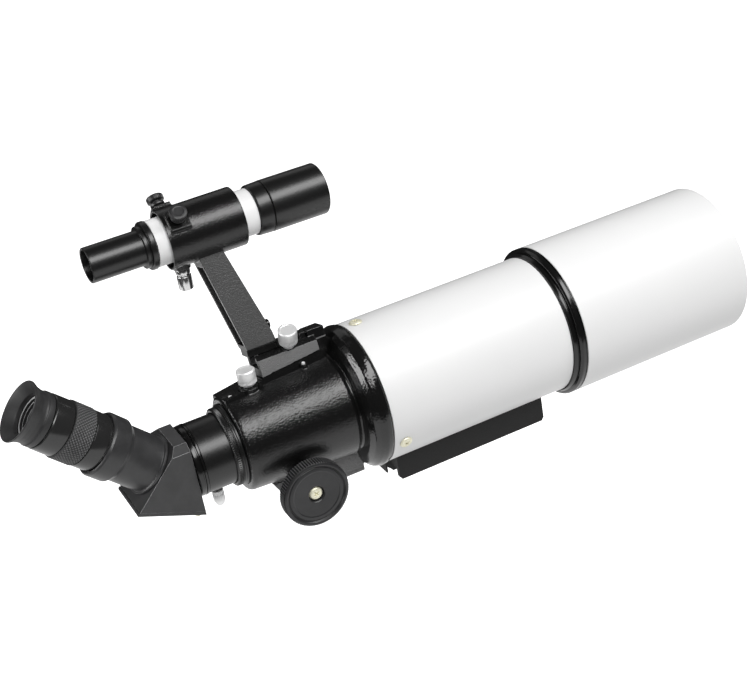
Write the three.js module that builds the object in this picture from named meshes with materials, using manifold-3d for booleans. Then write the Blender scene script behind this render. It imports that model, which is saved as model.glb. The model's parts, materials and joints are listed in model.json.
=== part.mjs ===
// A small refractor telescope: optical tube, rack-and-pinion focuser, erecting diagonal with
// eyepiece, and a straight-through finder on a dovetail shoe.
// Millimetres, +Z up. The origin is on the underside of the dovetail bar, at the bar's middle.
// +X runs along the optical axis towards the objective; +Y is the telescope's left side.

import * as THREE from 'three';
import { mergeVertices } from 'three/addons/utils/BufferGeometryUtils.js';
import Module from 'manifold-3d';

const wasm = await Module();
wasm.setup();

// ---------------------------------------------------------------- driving dimensions

const AXIS_HEIGHT = 57.5;          // optical axis above the bar's underside
const TUBE_R = 45;                 // 90 mm steel tube for an 80 mm objective
const TUBE_WALL = 1.4;
const TUBE_REAR = -61;
const TUBE_FRONT = 66;
const DEW_R = 49.4;                // dew shield, slid over the lens cell
const DEW_WALL = 1.7;
const DEW_REAR = 74.3;
const DEW_FRONT = 198;
const APERTURE_R = 40;
const LENS_R = 41;

const BARREL_REAR = -147.5;        // focuser casting
const BARREL_FRONT = -77.5;
const BARREL_REAR_R = 30.2;
const BARREL_FRONT_R = 33.2;
const BORE_R = 23.4;
const FLANGE_R = 46;
const HOUSING_HALF_WIDTH = 12;

const DRAWTUBE_R = 22;
const DRAWTUBE_WALL = 1.6;
const DRAWTUBE_REAR = -171.5;
const DRAWTUBE_FRONT = -42;
const ADAPTER_REAR = -176.9;
const NOSE_R = 15.85;              // 1.25 inch push-fit barrel

const PINION_X = -116.1;
const PINION_Z = -28.2;            // below the optical axis
const PITCH_R = 5.3;
const PINION_TEETH = 13;
const SHAFT_R = 3;
const TOOTH_PITCH = 2 * Math.PI * PITCH_R / PINION_TEETH;
const RACK_PITCH_Z = PINION_Z + PITCH_R;
const KNOB_R = 21;
const KNOB_FACE_Y = 43.5;
const KNOB_SEAT_Y = 40;            // floor of the recess for the knob's screw

const DIAGONAL_FRONT = -177.4;     // erecting-prism diagonal
const DIAGONAL_HALF_WIDTH = 18.9;
const DIAGONAL_X = -191;           // where the two optical axes meet
const EYEPIECE_TUBE_R = 17.05;
const EYEPIECE_R = 17.1;

const FINDER_ROLL = THREE.MathUtils.degToRad(15);   // shoe and finder lean to the left
const SHOE_TOP = 43.9;
const SHOE_HALF_WIDTH = 10.3;
const SHOE_REAR = -120;
const SHOE_FRONT = -81;
const PAD_SLOPE = 0.1;             // the casting's pad rises towards the flange
const FINDER_HEIGHT = 128.4;       // finder axis above the optical axis, along the lean
const FINDER_PIVOT = -106;         // rubber ring that the finder tilts in
const FINDER_YAW = THREE.MathUtils.degToRad(2.6);
const FINDER_PITCH = THREE.MathUtils.degToRad(0.6);
const FINDER_TUBE_R = 14;
const RING_R = 17.9;
const RING_BORE_R = 16.8;
const RING_REAR = -150.2;
const RING_FRONT = -103;

const BAR_LENGTH = 106;
const BAR_HALF_WIDTH = 20;
const GAP = 0.3;                   // left between pieces that meet

// Sides of a turned piece: the big tubes, the smaller rounds, rods and screws, and drilled holes.
const FINE = 32;
const ROUND = 20;
const SMALL = 10;
const HOLE = 6;

// ---------------------------------------------------------------- materials

const material = (color, roughness, metalness) =>
  new THREE.MeshStandardMaterial({ color, roughness, metalness });

const white = material(0xf2f2f0, 0.25, 0.0);
const blackEnamel = material(0x141414, 0.35, 0.1);
const satinBlack = material(0x101010, 0.45, 0.4);
const mattBlack = material(0x2b2b2b, 0.7, 0.0);
const rubber = material(0x1b1b1b, 0.9, 0.0);
const silver = material(0xd8d8d8, 0.3, 0.9);
const chrome = material(0xdedede, 0.12, 1.0);
const brass = material(0xc9b878, 0.35, 0.9);
const glass = material(0xbfd4cc, 0.05, 0.0);
const steel = material(0xa8a8a8, 0.35, 0.9);

// ---------------------------------------------------------------- solids

function signedVolume(geometry) {
  const p = geometry.getAttribute('position');
  const index = geometry.getIndex().array;
  const a = new THREE.Vector3();
  const b = new THREE.Vector3();
  const c = new THREE.Vector3();
  let volume = 0;
  for (let i = 0; i < index.length; i += 3) {
    a.fromBufferAttribute(p, index[i]);
    b.fromBufferAttribute(p, index[i + 1]);
    c.fromBufferAttribute(p, index[i + 2]);
    volume += a.dot(b.cross(c)) / 6;
  }
  return volume;
}

// Merge shared vertices, drop collapsed triangles and turn the faces outwards.
function closed(source) {
  const bare = source.clone();
  bare.deleteAttribute('normal');
  bare.deleteAttribute('uv');
  const merged = mergeVertices(bare, 1e-4);
  const old = merged.getIndex().array;
  const kept = [];
  for (let i = 0; i < old.length; i += 3) {
    const [a, b, c] = [old[i], old[i + 1], old[i + 2]];
    if (a !== b && b !== c && c !== a) kept.push(a, b, c);
  }
  merged.setIndex(kept);
  if (signedVolume(merged) < 0) {
    for (let i = 0; i < kept.length; i += 3) {
      [kept[i + 1], kept[i + 2]] = [kept[i + 2], kept[i + 1]];
    }
    merged.setIndex(kept);
  }
  return merged;
}

function toManifold(source) {
  const geometry = closed(source);
  return new wasm.Manifold(new wasm.Mesh({
    numProp: 3,
    vertProperties: new Float32Array(geometry.getAttribute('position').array),
    triVerts: new Uint32Array(geometry.getIndex().array),
  }));
}

function toGeometry(manifold) {
  const mesh = manifold.getMesh();
  const geometry = new THREE.BufferGeometry();
  const xyz = [];
  for (let i = 0; i < mesh.vertProperties.length; i += mesh.numProp) {
    xyz.push(mesh.vertProperties[i], mesh.vertProperties[i + 1], mesh.vertProperties[i + 2]);
  }
  geometry.setAttribute('position', new THREE.Float32BufferAttribute(xyz, 3));
  geometry.setIndex(Array.from(mesh.triVerts));
  return geometry;
}

// Join the first list, then cut every solid of the second list away from it.
function combine(joined, cuts = []) {
  let solid = toManifold(joined[0]);
  for (const extra of joined.slice(1)) solid = solid.add(toManifold(extra));
  for (const cut of cuts) solid = solid.subtract(toManifold(cut));
  return toGeometry(solid);
}

// A solid of revolution about X from [x, radius] points. A profile that stays off the axis is
// closed on itself, which leaves a bore.
function turned(profile, segments = ROUND) {
  const points = profile.map(([x, r]) => new THREE.Vector2(r, x));
  const [first, last] = [points[0], points[points.length - 1]];
  if (first.x > 0 || last.x > 0) points.push(first.clone());
  return closed(new THREE.LatheGeometry(points, segments).rotateZ(-Math.PI / 2));
}

// A plain ring or tube about X.
function tube(x0, x1, outer, inner, segments = ROUND) {
  return turned([[x0, inner], [x0, outer], [x1, outer], [x1, inner]], segments);
}

// A plain rod about X.
function rod(x0, x1, r, segments = SMALL) {
  return turned([[x0, 0], [x0, r], [x1, r], [x1, 0]], segments);
}

function box(x0, x1, y0, y1, z0, z1) {
  const geometry = new THREE.BoxGeometry(x1 - x0, y1 - y0, z1 - z0);
  geometry.translate((x0 + x1) / 2, (y0 + y1) / 2, (z0 + z1) / 2);
  return closed(geometry);
}

// A side outline of [x, z] points, extruded across Y.
function plate(outline, y0, y1) {
  const shape = new THREE.Shape(outline.map(([x, z]) => new THREE.Vector2(x, z)));
  const geometry = new THREE.ExtrudeGeometry(shape, { depth: y1 - y0, bevelEnabled: false });
  geometry.rotateX(Math.PI / 2);
  geometry.translate(0, y1, 0);
  return closed(geometry);
}

// Turn a solid made about X so that its +X points along the given direction, then move it.
function aimed(geometry, direction, origin) {
  const turn = new THREE.Quaternion().setFromUnitVectors(
    new THREE.Vector3(1, 0, 0), direction.clone().normalize());
  return geometry.clone().applyQuaternion(turn).translate(origin.x, origin.y, origin.z);
}

const v = (x, y, z) => new THREE.Vector3(x, y, z);
const up = v(0, 0, 1);
const down = v(0, 0, -1);
const left = v(0, 1, 0);
const right = v(0, -1, 0);

// ---------------------------------------------------------------- scene graph

const telescope = new THREE.Group();

// Everything below is placed from the optical axis.
const axis = new THREE.Group();
axis.position.z = AXIS_HEIGHT;
telescope.add(axis);

// The finder's shoe, bracket and tube lean together about the optical axis.
const leaning = new THREE.Group();
leaning.rotation.x = -FINDER_ROLL;
axis.add(leaning);

// The finder proper tilts a little in its rubber ring.
const finder = new THREE.Group();
finder.position.set(FINDER_PIVOT, 0, FINDER_HEIGHT);
finder.rotation.set(0, FINDER_PITCH, FINDER_YAW);
leaning.add(finder);

// The eyepiece points up and back at 45 degrees from the diagonal.
const eyepiece = new THREE.Group();
eyepiece.position.x = DIAGONAL_X;
eyepiece.rotation.y = -0.75 * Math.PI;
axis.add(eyepiece);

function put(group, name, geometry, look) {
  const mesh = new THREE.Mesh(geometry, look);
  mesh.name = name;
  group.add(mesh);
}

// ---------------------------------------------------------------- optical tube

function dewShield() {
  const inner = DEW_R - DEW_WALL;
  return turned([
    [DEW_REAR, inner], [DEW_REAR, DEW_R - 0.4], [DEW_REAR + 0.4, DEW_R],
    [DEW_FRONT - 1, DEW_R], [DEW_FRONT, DEW_R - 0.8], [DEW_FRONT - 0.5, inner + 0.3],
    [DEW_FRONT - 2, inner],
  ], FINE);
}

// The stepped collar that joins the tube, with the cell that holds the objective inside the shield.
function lensCell() {
  const cell = DEW_R - DEW_WALL - GAP;
  return turned([
    [TUBE_FRONT - 14, TUBE_R - TUBE_WALL - GAP],
    [TUBE_FRONT + GAP, TUBE_R - TUBE_WALL - GAP],
    [TUBE_FRONT + GAP, TUBE_R + 0.8],
    [TUBE_FRONT + 2.4, TUBE_R + 2],
    [TUBE_FRONT + 3, TUBE_R + 3.6],
    [TUBE_FRONT + 4.2, DEW_R],
    [DEW_REAR - GAP, DEW_R],
    [DEW_REAR - GAP, cell],
    [TUBE_FRONT + 32, cell],
    [TUBE_FRONT + 32, LENS_R + GAP],
    [TUBE_FRONT + 12, LENS_R + GAP],
    [TUBE_FRONT + 12, APERTURE_R - 0.5],
    [TUBE_FRONT - 14, APERTURE_R - 0.5],
  ], FINE);
}

// A lens about X: each face bulges outwards at the middle by the given amount, or is hollow
// where that is negative.
function lens(x0, x1, bulge0, bulge1, rim, segments) {
  const rings = 3;
  const profile = [];
  for (let i = 0; i <= rings; i += 1) {
    const r = rim * i / rings;
    profile.push([x0 - bulge0 * (1 - (r / rim) ** 2), r]);
  }
  for (let i = rings; i >= 0; i -= 1) {
    const r = rim * i / rings;
    profile.push([x1 + bulge1 * (1 - (r / rim) ** 2), r]);
  }
  return turned(profile, segments);
}

const CELL_SEAT = TUBE_FRONT + 12 + GAP;

put(axis, 'dew_shield', dewShield(), white);
put(axis, 'lens_cell', lensCell(), blackEnamel);
put(axis, 'flint_lens', lens(CELL_SEAT, CELL_SEAT + 6.5, 0.4, -2.4, LENS_R, ROUND), glass);
put(axis, 'crown_lens', lens(CELL_SEAT + 7.7, CELL_SEAT + 12.2, 2.2, 2.4, LENS_R, ROUND), glass);
put(axis, 'lens_retaining_ring',
  tube(CELL_SEAT + 12.5, CELL_SEAT + 16.5, LENS_R, APERTURE_R - 1, ROUND), blackEnamel);

const TUBE_SCREW_X = TUBE_REAR + 7.4;
const TUBE_SCREW_ANGLES = [-5, 115, 235];   // degrees from straight up, towards the right side

function radial(degrees) {
  const a = THREE.MathUtils.degToRad(degrees);
  return v(0, -Math.sin(a), Math.cos(a));
}

function tubeScrewHole(degrees) {
  return aimed(rod(38, 50, 1.9, HOLE), radial(degrees), v(TUBE_SCREW_X, 0, 0));
}

function mainTube() {
  const wall = tube(TUBE_REAR, TUBE_FRONT, TUBE_R, TUBE_R - TUBE_WALL, FINE);
  return combine([wall], TUBE_SCREW_ANGLES.map(tubeScrewHole));
}

put(axis, 'main_tube', mainTube(), white);
put(axis, 'light_baffle', tube(10, 12, TUBE_R - TUBE_WALL - GAP, 31, ROUND), mattBlack);

// A pan-head screw about X: the head sits on x = 0, with the shank on its -X side.
function panScrew(length, shank, head, thickness) {
  return turned([
    [-length, 0], [-length, shank], [0, shank], [0, head],
    [thickness * 0.55, head * 0.92], [thickness, head * 0.55], [thickness, 0],
  ], SMALL);
}

TUBE_SCREW_ANGLES.forEach((degrees, i) => {
  const out = radial(degrees);
  const seat = out.clone().multiplyScalar(TUBE_R + GAP).setX(TUBE_SCREW_X);
  put(axis, `tube_screw_${i + 1}`, aimed(panScrew(4, 1.6, 4.1, 1.5), out, seat), brass);
});

// ---------------------------------------------------------------- dovetail bar

const BAR_SCREW_X = 38;
const BAR_TOP = AXIS_HEIGHT - Math.sqrt((TUBE_R + GAP) ** 2 - BAR_HALF_WIDTH ** 2);

// An inverted channel that cradles the tube, with a solid rib down its middle for tripod threads.
function dovetailBar() {
  const half = BAR_LENGTH / 2;
  const block = box(-half, half, -BAR_HALF_WIDTH, BAR_HALF_WIDTH, 0, BAR_TOP);
  const rib = box(-half - 3, half - 3, -7, 7, 0, 11);
  const saddle = rod(-half - 10, half + 10, TUBE_R + GAP, FINE).translate(0, 0, AXIS_HEIGHT);
  const channel = (y0, y1) => box(-half - 1, half + 1, y0, y1, -1, 7.5);
  const lowerCorner = (x, side) => plate(
    [[x, -1], [x + side * 4, -1], [x + side * 4, 4], [x + side * 1.2, 1.2]], -30, 30);
  const thread = (x) => aimed(rod(-1, 9, 2.6, SMALL), up, v(x, 0, 0));
  const screwHole = (x) => aimed(rod(5, 16, 2.1, HOLE), up, v(x, 0, 0));
  const headPocket = (x) => aimed(rod(-1, 5.5, 4.2, ROUND), up, v(x, 0, 0));
  return combine([block, rib], [
    saddle,
    channel(-BAR_HALF_WIDTH + 3, -7.001), channel(7.001, BAR_HALF_WIDTH - 3),
    lowerCorner(half - 2, 1), lowerCorner(-half + 2, -1),
    thread(-19), thread(19),
    screwHole(-BAR_SCREW_X), screwHole(BAR_SCREW_X),
    headPocket(-BAR_SCREW_X), headPocket(BAR_SCREW_X),
  ]);
}

put(telescope, 'dovetail_bar', dovetailBar(), satinBlack);
for (const [name, x] of [['bar_screw_rear', -BAR_SCREW_X], ['bar_screw_front', BAR_SCREW_X]]) {
  const screw = panScrew(6.4, 1.6, 3.5, 2.2);
  put(telescope, name, aimed(screw, down, v(x, 0, 5.5 - GAP)), steel);
}

// ---------------------------------------------------------------- focuser casting

// Height above the optical axis of the sloping pad, measured in the leaning frame.
const PAD_HALF_WIDTH = 10.2;
const LEDGE_HALF_WIDTH = 13.2;     // a lower ledge runs along both sides of the pad
const padHeight = (x) => 30.5 + PAD_SLOPE * (x - BARREL_REAR);
const ledgeHeight = (x) => padHeight(x) - 1.2;
// Drag screws for the drawtube: how far each leans to the right, and how far out its top is.
const SET_SCREWS = [{ x: -141.8, degrees: 0, top: 30.9 }, { x: -93.9, degrees: 4.5, top: 36.2 }];
const COVER_SCREW_X = [PINION_X + 11.4, PINION_X + 30];

function leaningSolid(geometry) {
  return geometry.clone().rotateX(-FINDER_ROLL);
}

function setScrewHole({ x, degrees }) {
  return aimed(rod(20, 40, 1.5, HOLE), radial(degrees), v(x, 0, 0));
}

const LOCK_SCREW = v(-129.2, 0, 0);
const LOCK_SEAT = 33.2;
const ADAPTER_SCREW_X = -163;

function focuserBody() {
  const turnedBody = turned([
    [TUBE_REAR + 15, TUBE_R - TUBE_WALL - GAP],
    [TUBE_REAR - GAP, TUBE_R - TUBE_WALL - GAP],
    [TUBE_REAR - GAP, TUBE_R - 0.4],
    [TUBE_REAR - 1.5, FLANGE_R - 0.4],
    [TUBE_REAR - 4.5, FLANGE_R],
    [TUBE_REAR - 8, FLANGE_R - 1.2],
    [TUBE_REAR - 11, FLANGE_R - 4.4],
    [TUBE_REAR - 13, FLANGE_R - 9],
    [TUBE_REAR - 13.8, 32],
    [BARREL_FRONT + 1.2, 31.4],
    [BARREL_FRONT, BARREL_FRONT_R - 0.6],
    [BARREL_FRONT - 1.2, BARREL_FRONT_R],
    [BARREL_REAR + 2.5, BARREL_REAR_R],
    [BARREL_REAR + 0.6, BARREL_REAR_R - 0.8],
    [BARREL_REAR, BARREL_REAR_R - 2.2],
    [BARREL_REAR, BORE_R],
    [-84, BORE_R],
    [-72, 31],
    [TUBE_REAR + 15, TUBE_R - TUBE_WALL - 2.4],
  ], FINE);
  const pad = leaningSolid(plate([
    [BARREL_REAR + 0.5, 22], [BARREL_REAR + 0.5, padHeight(BARREL_REAR) - 1],
    [SHOE_REAR - 1, padHeight(SHOE_REAR) - 0.4], [SHOE_REAR - 1, padHeight(SHOE_REAR)],
    [SHOE_FRONT + 1.5, padHeight(SHOE_FRONT)], [SHOE_FRONT + 1.5, 27],
  ], -PAD_HALF_WIDTH, PAD_HALF_WIDTH));
  const ledge = leaningSolid(plate([
    [BARREL_REAR + 0.5, 22], [BARREL_REAR + 0.5, ledgeHeight(BARREL_REAR)],
    [SHOE_FRONT + 1.5, ledgeHeight(SHOE_FRONT)], [SHOE_FRONT + 1.5, 27],
  ], -LEDGE_HALF_WIDTH, LEDGE_HALF_WIDTH));
  const housing = plate([
    [-135, -26], [-125, -43], [-72, -43.5], [-72, -30],
  ], -HOUSING_HALF_WIDTH, HOUSING_HALF_WIDTH);
  const bosses = aimed(rod(-19, 19, 8, ROUND), left, v(PINION_X, 0, PINION_Z));
  const lockBoss = aimed(rod(24, LOCK_SEAT, 6.4, ROUND), up, LOCK_SCREW);
  const bore = rod(BARREL_REAR - 1, -84, BORE_R, FINE);
  const boreCone = turned([[-84.001, 0], [-84.001, BORE_R], [-72, 31], [-70, 31], [-70, 0]], FINE);
  const rackSlot = box(BARREL_REAR - 1, -70, -3.6, 3.6, -24.6, -18);
  const pinionPocket = aimed(rod(-5.6, 5.6, 6.8, ROUND), left, v(PINION_X, 0, PINION_Z));
  const pocketOpening = box(PINION_X - 6.8, PINION_X + 6.8, -5.6, 5.6, -50, PINION_Z);
  const shaftBore = aimed(rod(-25, 25, SHAFT_R + 0.5, SMALL), left, v(PINION_X, 0, PINION_Z));
  const lockHole = aimed(rod(20, 40, 2.1, HOLE), up, LOCK_SCREW);
  const lockSeat = aimed(rod(LOCK_SEAT, 40, 6.6, ROUND), up, LOCK_SCREW);
  const hubRecess = (way) => aimed(rod(20, 40, 8.4, ROUND), way, v(PINION_X, 0, PINION_Z));
  const coverHole = (x) => aimed(rod(34, 50, 1.5, HOLE), down, v(x, 0, 0));
  return combine([turnedBody, pad, ledge, housing, bosses, lockBoss], [
    bore, boreCone, rackSlot, pinionPocket, pocketOpening, shaftBore,
    hubRecess(left), hubRecess(right), lockHole, lockSeat,
    ...SET_SCREWS.map(setScrewHole),
    ...COVER_SCREW_X.map(coverHole),
    ...TUBE_SCREW_ANGLES.map(tubeScrewHole),
  ]);
}

put(axis, 'focuser_body', focuserBody(), blackEnamel);

// Plastic sleeve that the drawtube slides in, split below where the rack passes.
function drawtubeLiner() {
  const sleeve = tube(BARREL_REAR + 1, BARREL_REAR + 26, BORE_R - GAP, DRAWTUBE_R + 0.25, ROUND);
  const lockHole = aimed(rod(20, 40, 2.1, HOLE), up, LOCK_SCREW);
  const rackSlot = box(BARREL_REAR - 1, BARREL_REAR + 30, -3.6, 3.6, -30, -10);
  return combine([sleeve], [rackSlot, lockHole, setScrewHole(SET_SCREWS[0])]);
}

// The black ring that closes the rear of the casting.
function barrelEndRing() {
  const ring = turned([
    [BARREL_REAR - 6.4, DRAWTUBE_R + 0.4], [BARREL_REAR - 6.4, 23.6],
    [BARREL_REAR - 5.6, 24.6], [BARREL_REAR - 1.6, 24.8], [BARREL_REAR - 1.4, 25.6],
    [BARREL_REAR - GAP, 25.8], [BARREL_REAR - GAP, DRAWTUBE_R + 0.4],
  ], ROUND);
  return combine([ring], [box(-160, -140, -3.6, 3.6, -24.1, -18)]);
}

put(axis, 'drawtube_liner', drawtubeLiner(), mattBlack);
put(axis, 'barrel_end_ring', barrelEndRing(), satinBlack);

// Flat plate under the pinion, held by two screws.
function pinionCover() {
  const outline = [
    [-124, -43.4], [-123, -46], [-74, -46.2], [-74, -43.8],
  ];
  const hole = (x) => aimed(rod(40, 50, 1.5, HOLE), down, v(x, 0, 0));
  return combine([plate(outline, -11, 11)], COVER_SCREW_X.map(hole));
}

put(axis, 'pinion_cover', pinionCover(), blackEnamel);
COVER_SCREW_X.forEach((x, i) => {
  const seat = v(x, 0, -46.2 - GAP);
  put(axis, `cover_screw_${i + 1}`, aimed(panScrew(8, 1.2, 2.6, 1.4), down, seat), steel);
});

SET_SCREWS.forEach(({ x, degrees, top }, i) => {
  const screw = rod(BORE_R + 0.8, top, 1.2, HOLE);
  put(axis, `tension_screw_${i + 1}`, aimed(screw, radial(degrees), v(x, 0, 0)), silver);
});

// A thumb screw about X: knurled head at the +X end, tip at the -X end.
function thumbScrew({ shank, shankR, headR, headLength, dome = 0, collar = 0 }) {
  const profile = [[-shank, 0], [-shank, shankR], [0, shankR]];
  if (collar > 0) profile.push([0, headR * 0.62], [collar, headR * 0.62]);
  profile.push([collar, headR - 0.4], [collar + 0.5, headR]);
  profile.push([collar + headLength - 0.5, headR], [collar + headLength, headR - 0.5]);
  if (dome > 0) profile.push([collar + headLength + dome * 0.7, headR * 0.6]);
  profile.push([collar + headLength + dome, 0]);
  return turned(profile, SMALL);
}

put(axis, 'drawtube_lock_screw', aimed(
  thumbScrew({ shank: 10, shankR: 1.8, headR: 5.7, headLength: 9, collar: 1.6 }),
  up, v(LOCK_SCREW.x, 0, LOCK_SEAT + GAP)), silver);

// ---------------------------------------------------------------- drawtube, rack and pinion

function drawtube() {
  const wall = tube(DRAWTUBE_REAR, DRAWTUBE_FRONT, DRAWTUBE_R, DRAWTUBE_R - DRAWTUBE_WALL, ROUND);
  const rackSeat = box(-135, -43, -3.3, 3.3, -23, -20.9);
  const screwHole = aimed(rod(15, 25, 1.8, HOLE), down, v(ADAPTER_SCREW_X, 0, 0));
  return combine([wall], [rackSeat, screwHole]);
}

// Rack teeth hang below the drawtube, with a gap between teeth over the pinion's top tooth.
function rack() {
  const first = PINION_X - 7 * TOOTH_PITCH;
  const count = 34;
  const root = RACK_PITCH_Z + 0.9;
  const tip = RACK_PITCH_Z - 0.55;
  const outline = [[first - 0.5, -21.1], [first - 0.5, root]];
  for (let i = 0; i < count; i += 1) {
    const centre = first + (i + 0.5) * TOOTH_PITCH;
    outline.push([centre - 0.62, root], [centre - 0.3, tip]);
    outline.push([centre + 0.3, tip], [centre + 0.62, root]);
  }
  const end = first + count * TOOTH_PITCH + 0.5;
  outline.push([end, root], [end, -21.1]);
  return plate(outline, -3, 3);
}

function adapter() {
  const inside = DRAWTUBE_R - DRAWTUBE_WALL - GAP;
  const body = turned([
    [ADAPTER_REAR, NOSE_R + 0.25], [ADAPTER_REAR, 21.2], [ADAPTER_REAR + 0.6, 22],
    [ADAPTER_REAR + 2.6, 22.3], [ADAPTER_REAR + 2.8, 21.5], [ADAPTER_REAR + 3.6, 21.5],
    [ADAPTER_REAR + 3.8, 22.4], [DRAWTUBE_REAR - GAP, 22.4], [DRAWTUBE_REAR - GAP, inside],
    [-153, inside], [-153, NOSE_R + 0.25],
  ], ROUND);
  const screwHole = aimed(rod(10, 25, 1.8, HOLE), down, v(ADAPTER_SCREW_X, 0, 0));
  return combine([body], [screwHole]);
}

put(axis, 'drawtube', drawtube(), satinBlack);
put(axis, 'rack', rack(), steel);
put(axis, 'eyepiece_adapter', adapter(), satinBlack);
put(axis, 'adapter_thumb_screw', aimed(
  thumbScrew({ shank: 8.6, shankR: 1.4, headR: 3.6, headLength: 8.6, dome: 3 }),
  down, v(ADAPTER_SCREW_X, 0, -25.3)), silver);

// Shaft with its gear cut in one piece; one tooth points straight up into the rack.
function pinionShaft() {
  const shape = new THREE.Shape();
  const step = 2 * Math.PI / PINION_TEETH;
  const corner = (angle, r) => new THREE.Vector2(r * Math.sin(angle), r * Math.cos(angle));
  const outline = [];
  for (let i = 0; i < PINION_TEETH; i += 1) {
    const a = i * step;
    outline.push(corner(a - 0.17, PITCH_R - 0.95), corner(a - 0.055, PITCH_R + 0.5));
    outline.push(corner(a + 0.055, PITCH_R + 0.5), corner(a + 0.17, PITCH_R - 0.95));
  }
  shape.setFromPoints(outline);
  const gear = new THREE.ExtrudeGeometry(shape, { depth: 9, bevelEnabled: false });
  gear.rotateX(Math.PI / 2);
  gear.translate(0, 4.5, 0);
  const shaft = aimed(rod(-37, 37, SHAFT_R, SMALL), left, v(0, 0, 0));
  return combine([gear, shaft]).translate(PINION_X, 0, PINION_Z);
}

// A focus knob about X, face at the +X end: raised rim, shallow dish and a hub on the back.
function focusKnob() {
  return turned([
    [20.5, 3.05], [20.5, 7.4], [KNOB_FACE_Y - 9, 7.8], [KNOB_FACE_Y - 8.4, KNOB_R - 0.8],
    [KNOB_FACE_Y - 7.6, KNOB_R], [KNOB_FACE_Y - 1.2, KNOB_R], [KNOB_FACE_Y - 0.4, KNOB_R - 0.9],
    [KNOB_FACE_Y - 0.2, KNOB_R - 2], [KNOB_FACE_Y - 1.2, KNOB_R - 3], [KNOB_FACE_Y - 1.2, 4.9],
    [KNOB_SEAT_Y, 4.9], [KNOB_SEAT_Y, 3.05],
  ], ROUND);
}

put(axis, 'pinion_shaft', pinionShaft(), steel);
for (const [side, way] of [['right', right], ['left', left]]) {
  const hub = v(PINION_X, 0, PINION_Z);
  put(axis, `focus_knob_${side}`, aimed(focusKnob(), way, hub), mattBlack);
  const screw = panScrew(2.4, 1.2, 4.3, 1.9).translate(KNOB_SEAT_Y + GAP, 0, 0);
  put(axis, `knob_screw_${side}`, aimed(screw, way, hub), brass);
}

// ---------------------------------------------------------------- diagonal

const REAR_FOOT = [-216.8, -11.3];          // lower rear corner of the prism housing
const TOP_Z = 20.5;
const FRONT_FOOT_Z = -27.75;
const rearFaceX = (z) => REAR_FOOT[0] + (z - REAR_FOOT[1]);
const BASE_SLOPE = Math.atan2(REAR_FOOT[1] - FRONT_FOOT_Z, DIAGONAL_FRONT - REAR_FOOT[0]);

// A point on the base plane, at a distance from the front foot and a height above the plane.
function onBase(along, above) {
  return [
    DIAGONAL_FRONT - along * Math.cos(BASE_SLOPE) + above * Math.sin(BASE_SLOPE),
    FRONT_FOOT_Z + along * Math.sin(BASE_SLOPE) + above * Math.cos(BASE_SLOPE),
  ];
}

const BASE_LENGTH = Math.hypot(REAR_FOOT[0] - DIAGONAL_FRONT, REAR_FOOT[1] - FRONT_FOOT_Z);

function diagonalBody() {
  const lowFrontZ = FRONT_FOOT_Z + 2.3 / Math.cos(BASE_SLOPE);
  const lowRear = onBase(BASE_LENGTH - 1, 2.3);
  lowRear[0] = rearFaceX(lowRear[1]);
  const outer = plate([
    [DIAGONAL_FRONT, lowFrontZ], lowRear, [rearFaceX(TOP_Z), TOP_Z], [DIAGONAL_FRONT, TOP_Z],
  ], -DIAGONAL_HALF_WIDTH, DIAGONAL_HALF_WIDTH);
  const cavity = plate([
    [DIAGONAL_FRONT - 2, lowFrontZ - 3], [lowRear[0] + 2.8, lowRear[1] - 3],
    [lowRear[0] + 2.8, lowRear[1] + 0.2], [rearFaceX(TOP_Z - 2) + 2.8, TOP_Z - 2],
    [DIAGONAL_FRONT - 2, TOP_Z - 2],
  ], -DIAGONAL_HALF_WIDTH + 4.2, DIAGONAL_HALF_WIDTH - 4.2);
  const chamfer = (side) => {
    const wedge = new THREE.Shape([
      new THREE.Vector2(DIAGONAL_HALF_WIDTH + 1, TOP_Z - 4.6),
      new THREE.Vector2(DIAGONAL_HALF_WIDTH + 1, TOP_Z + 2),
      new THREE.Vector2(DIAGONAL_HALF_WIDTH - 8, TOP_Z + 2),
    ]);
    const solid = new THREE.ExtrudeGeometry(wedge, { depth: 60, bevelEnabled: false });
    solid.rotateZ(Math.PI / 2);
    solid.rotateY(Math.PI / 2);
    const placed = closed(solid);
    if (side < 0) placed.scale(1, -1, 1);
    return closed(placed.translate(-230, 0, 0));
  };
  const noseHole = rod(DIAGONAL_FRONT - 4, DIAGONAL_FRONT + 1, NOSE_R - 1.4, ROUND);
  const eyeHole = rod(2, 14, 14.6, ROUND).rotateY(-0.75 * Math.PI).translate(DIAGONAL_X, 0, 0);
  const coverHole = ([along, y]) => {
    const [x, z] = onBase(along, 0);
    const inward = v(Math.sin(BASE_SLOPE), 0, Math.cos(BASE_SLOPE));
    return aimed(rod(0, 8, 1.2, HOLE), inward, v(x, y, z));
  };
  return combine([outer], [
    cavity, chamfer(1), chamfer(-1), noseHole, eyeHole, ...COVER_SCREWS.map(coverHole),
  ]);
}

const COVER_SCREWS = [[5, -16.3], [BASE_LENGTH - 5, 16.3]];

function diagonalCover() {
  const slab = plate([
    onBase(0, 0), onBase(BASE_LENGTH, 0), onBase(BASE_LENGTH, 2), onBase(0.8, 2),
  ], -DIAGONAL_HALF_WIDTH, DIAGONAL_HALF_WIDTH);
  const hole = ([along, y]) => {
    const [x, z] = onBase(along, -1);
    const inward = v(Math.sin(BASE_SLOPE), 0, Math.cos(BASE_SLOPE));
    return aimed(rod(0, 5, 1.2, HOLE), inward, v(x, y, z));
  };
  return combine([slab], COVER_SCREWS.map(hole));
}

// The roof prism, seated on the base with its two clear faces square to the two light paths.
function erectingPrism() {
  return plate([
    onBase(5.5, 4.2), onBase(BASE_LENGTH - 7, 4.2),
    [rearFaceX(6) + 3.6, 6], [rearFaceX(14) + 3.6, 14], [DIAGONAL_FRONT - 2.6, 14],
  ], -13.5, 13.5);
}

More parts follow.
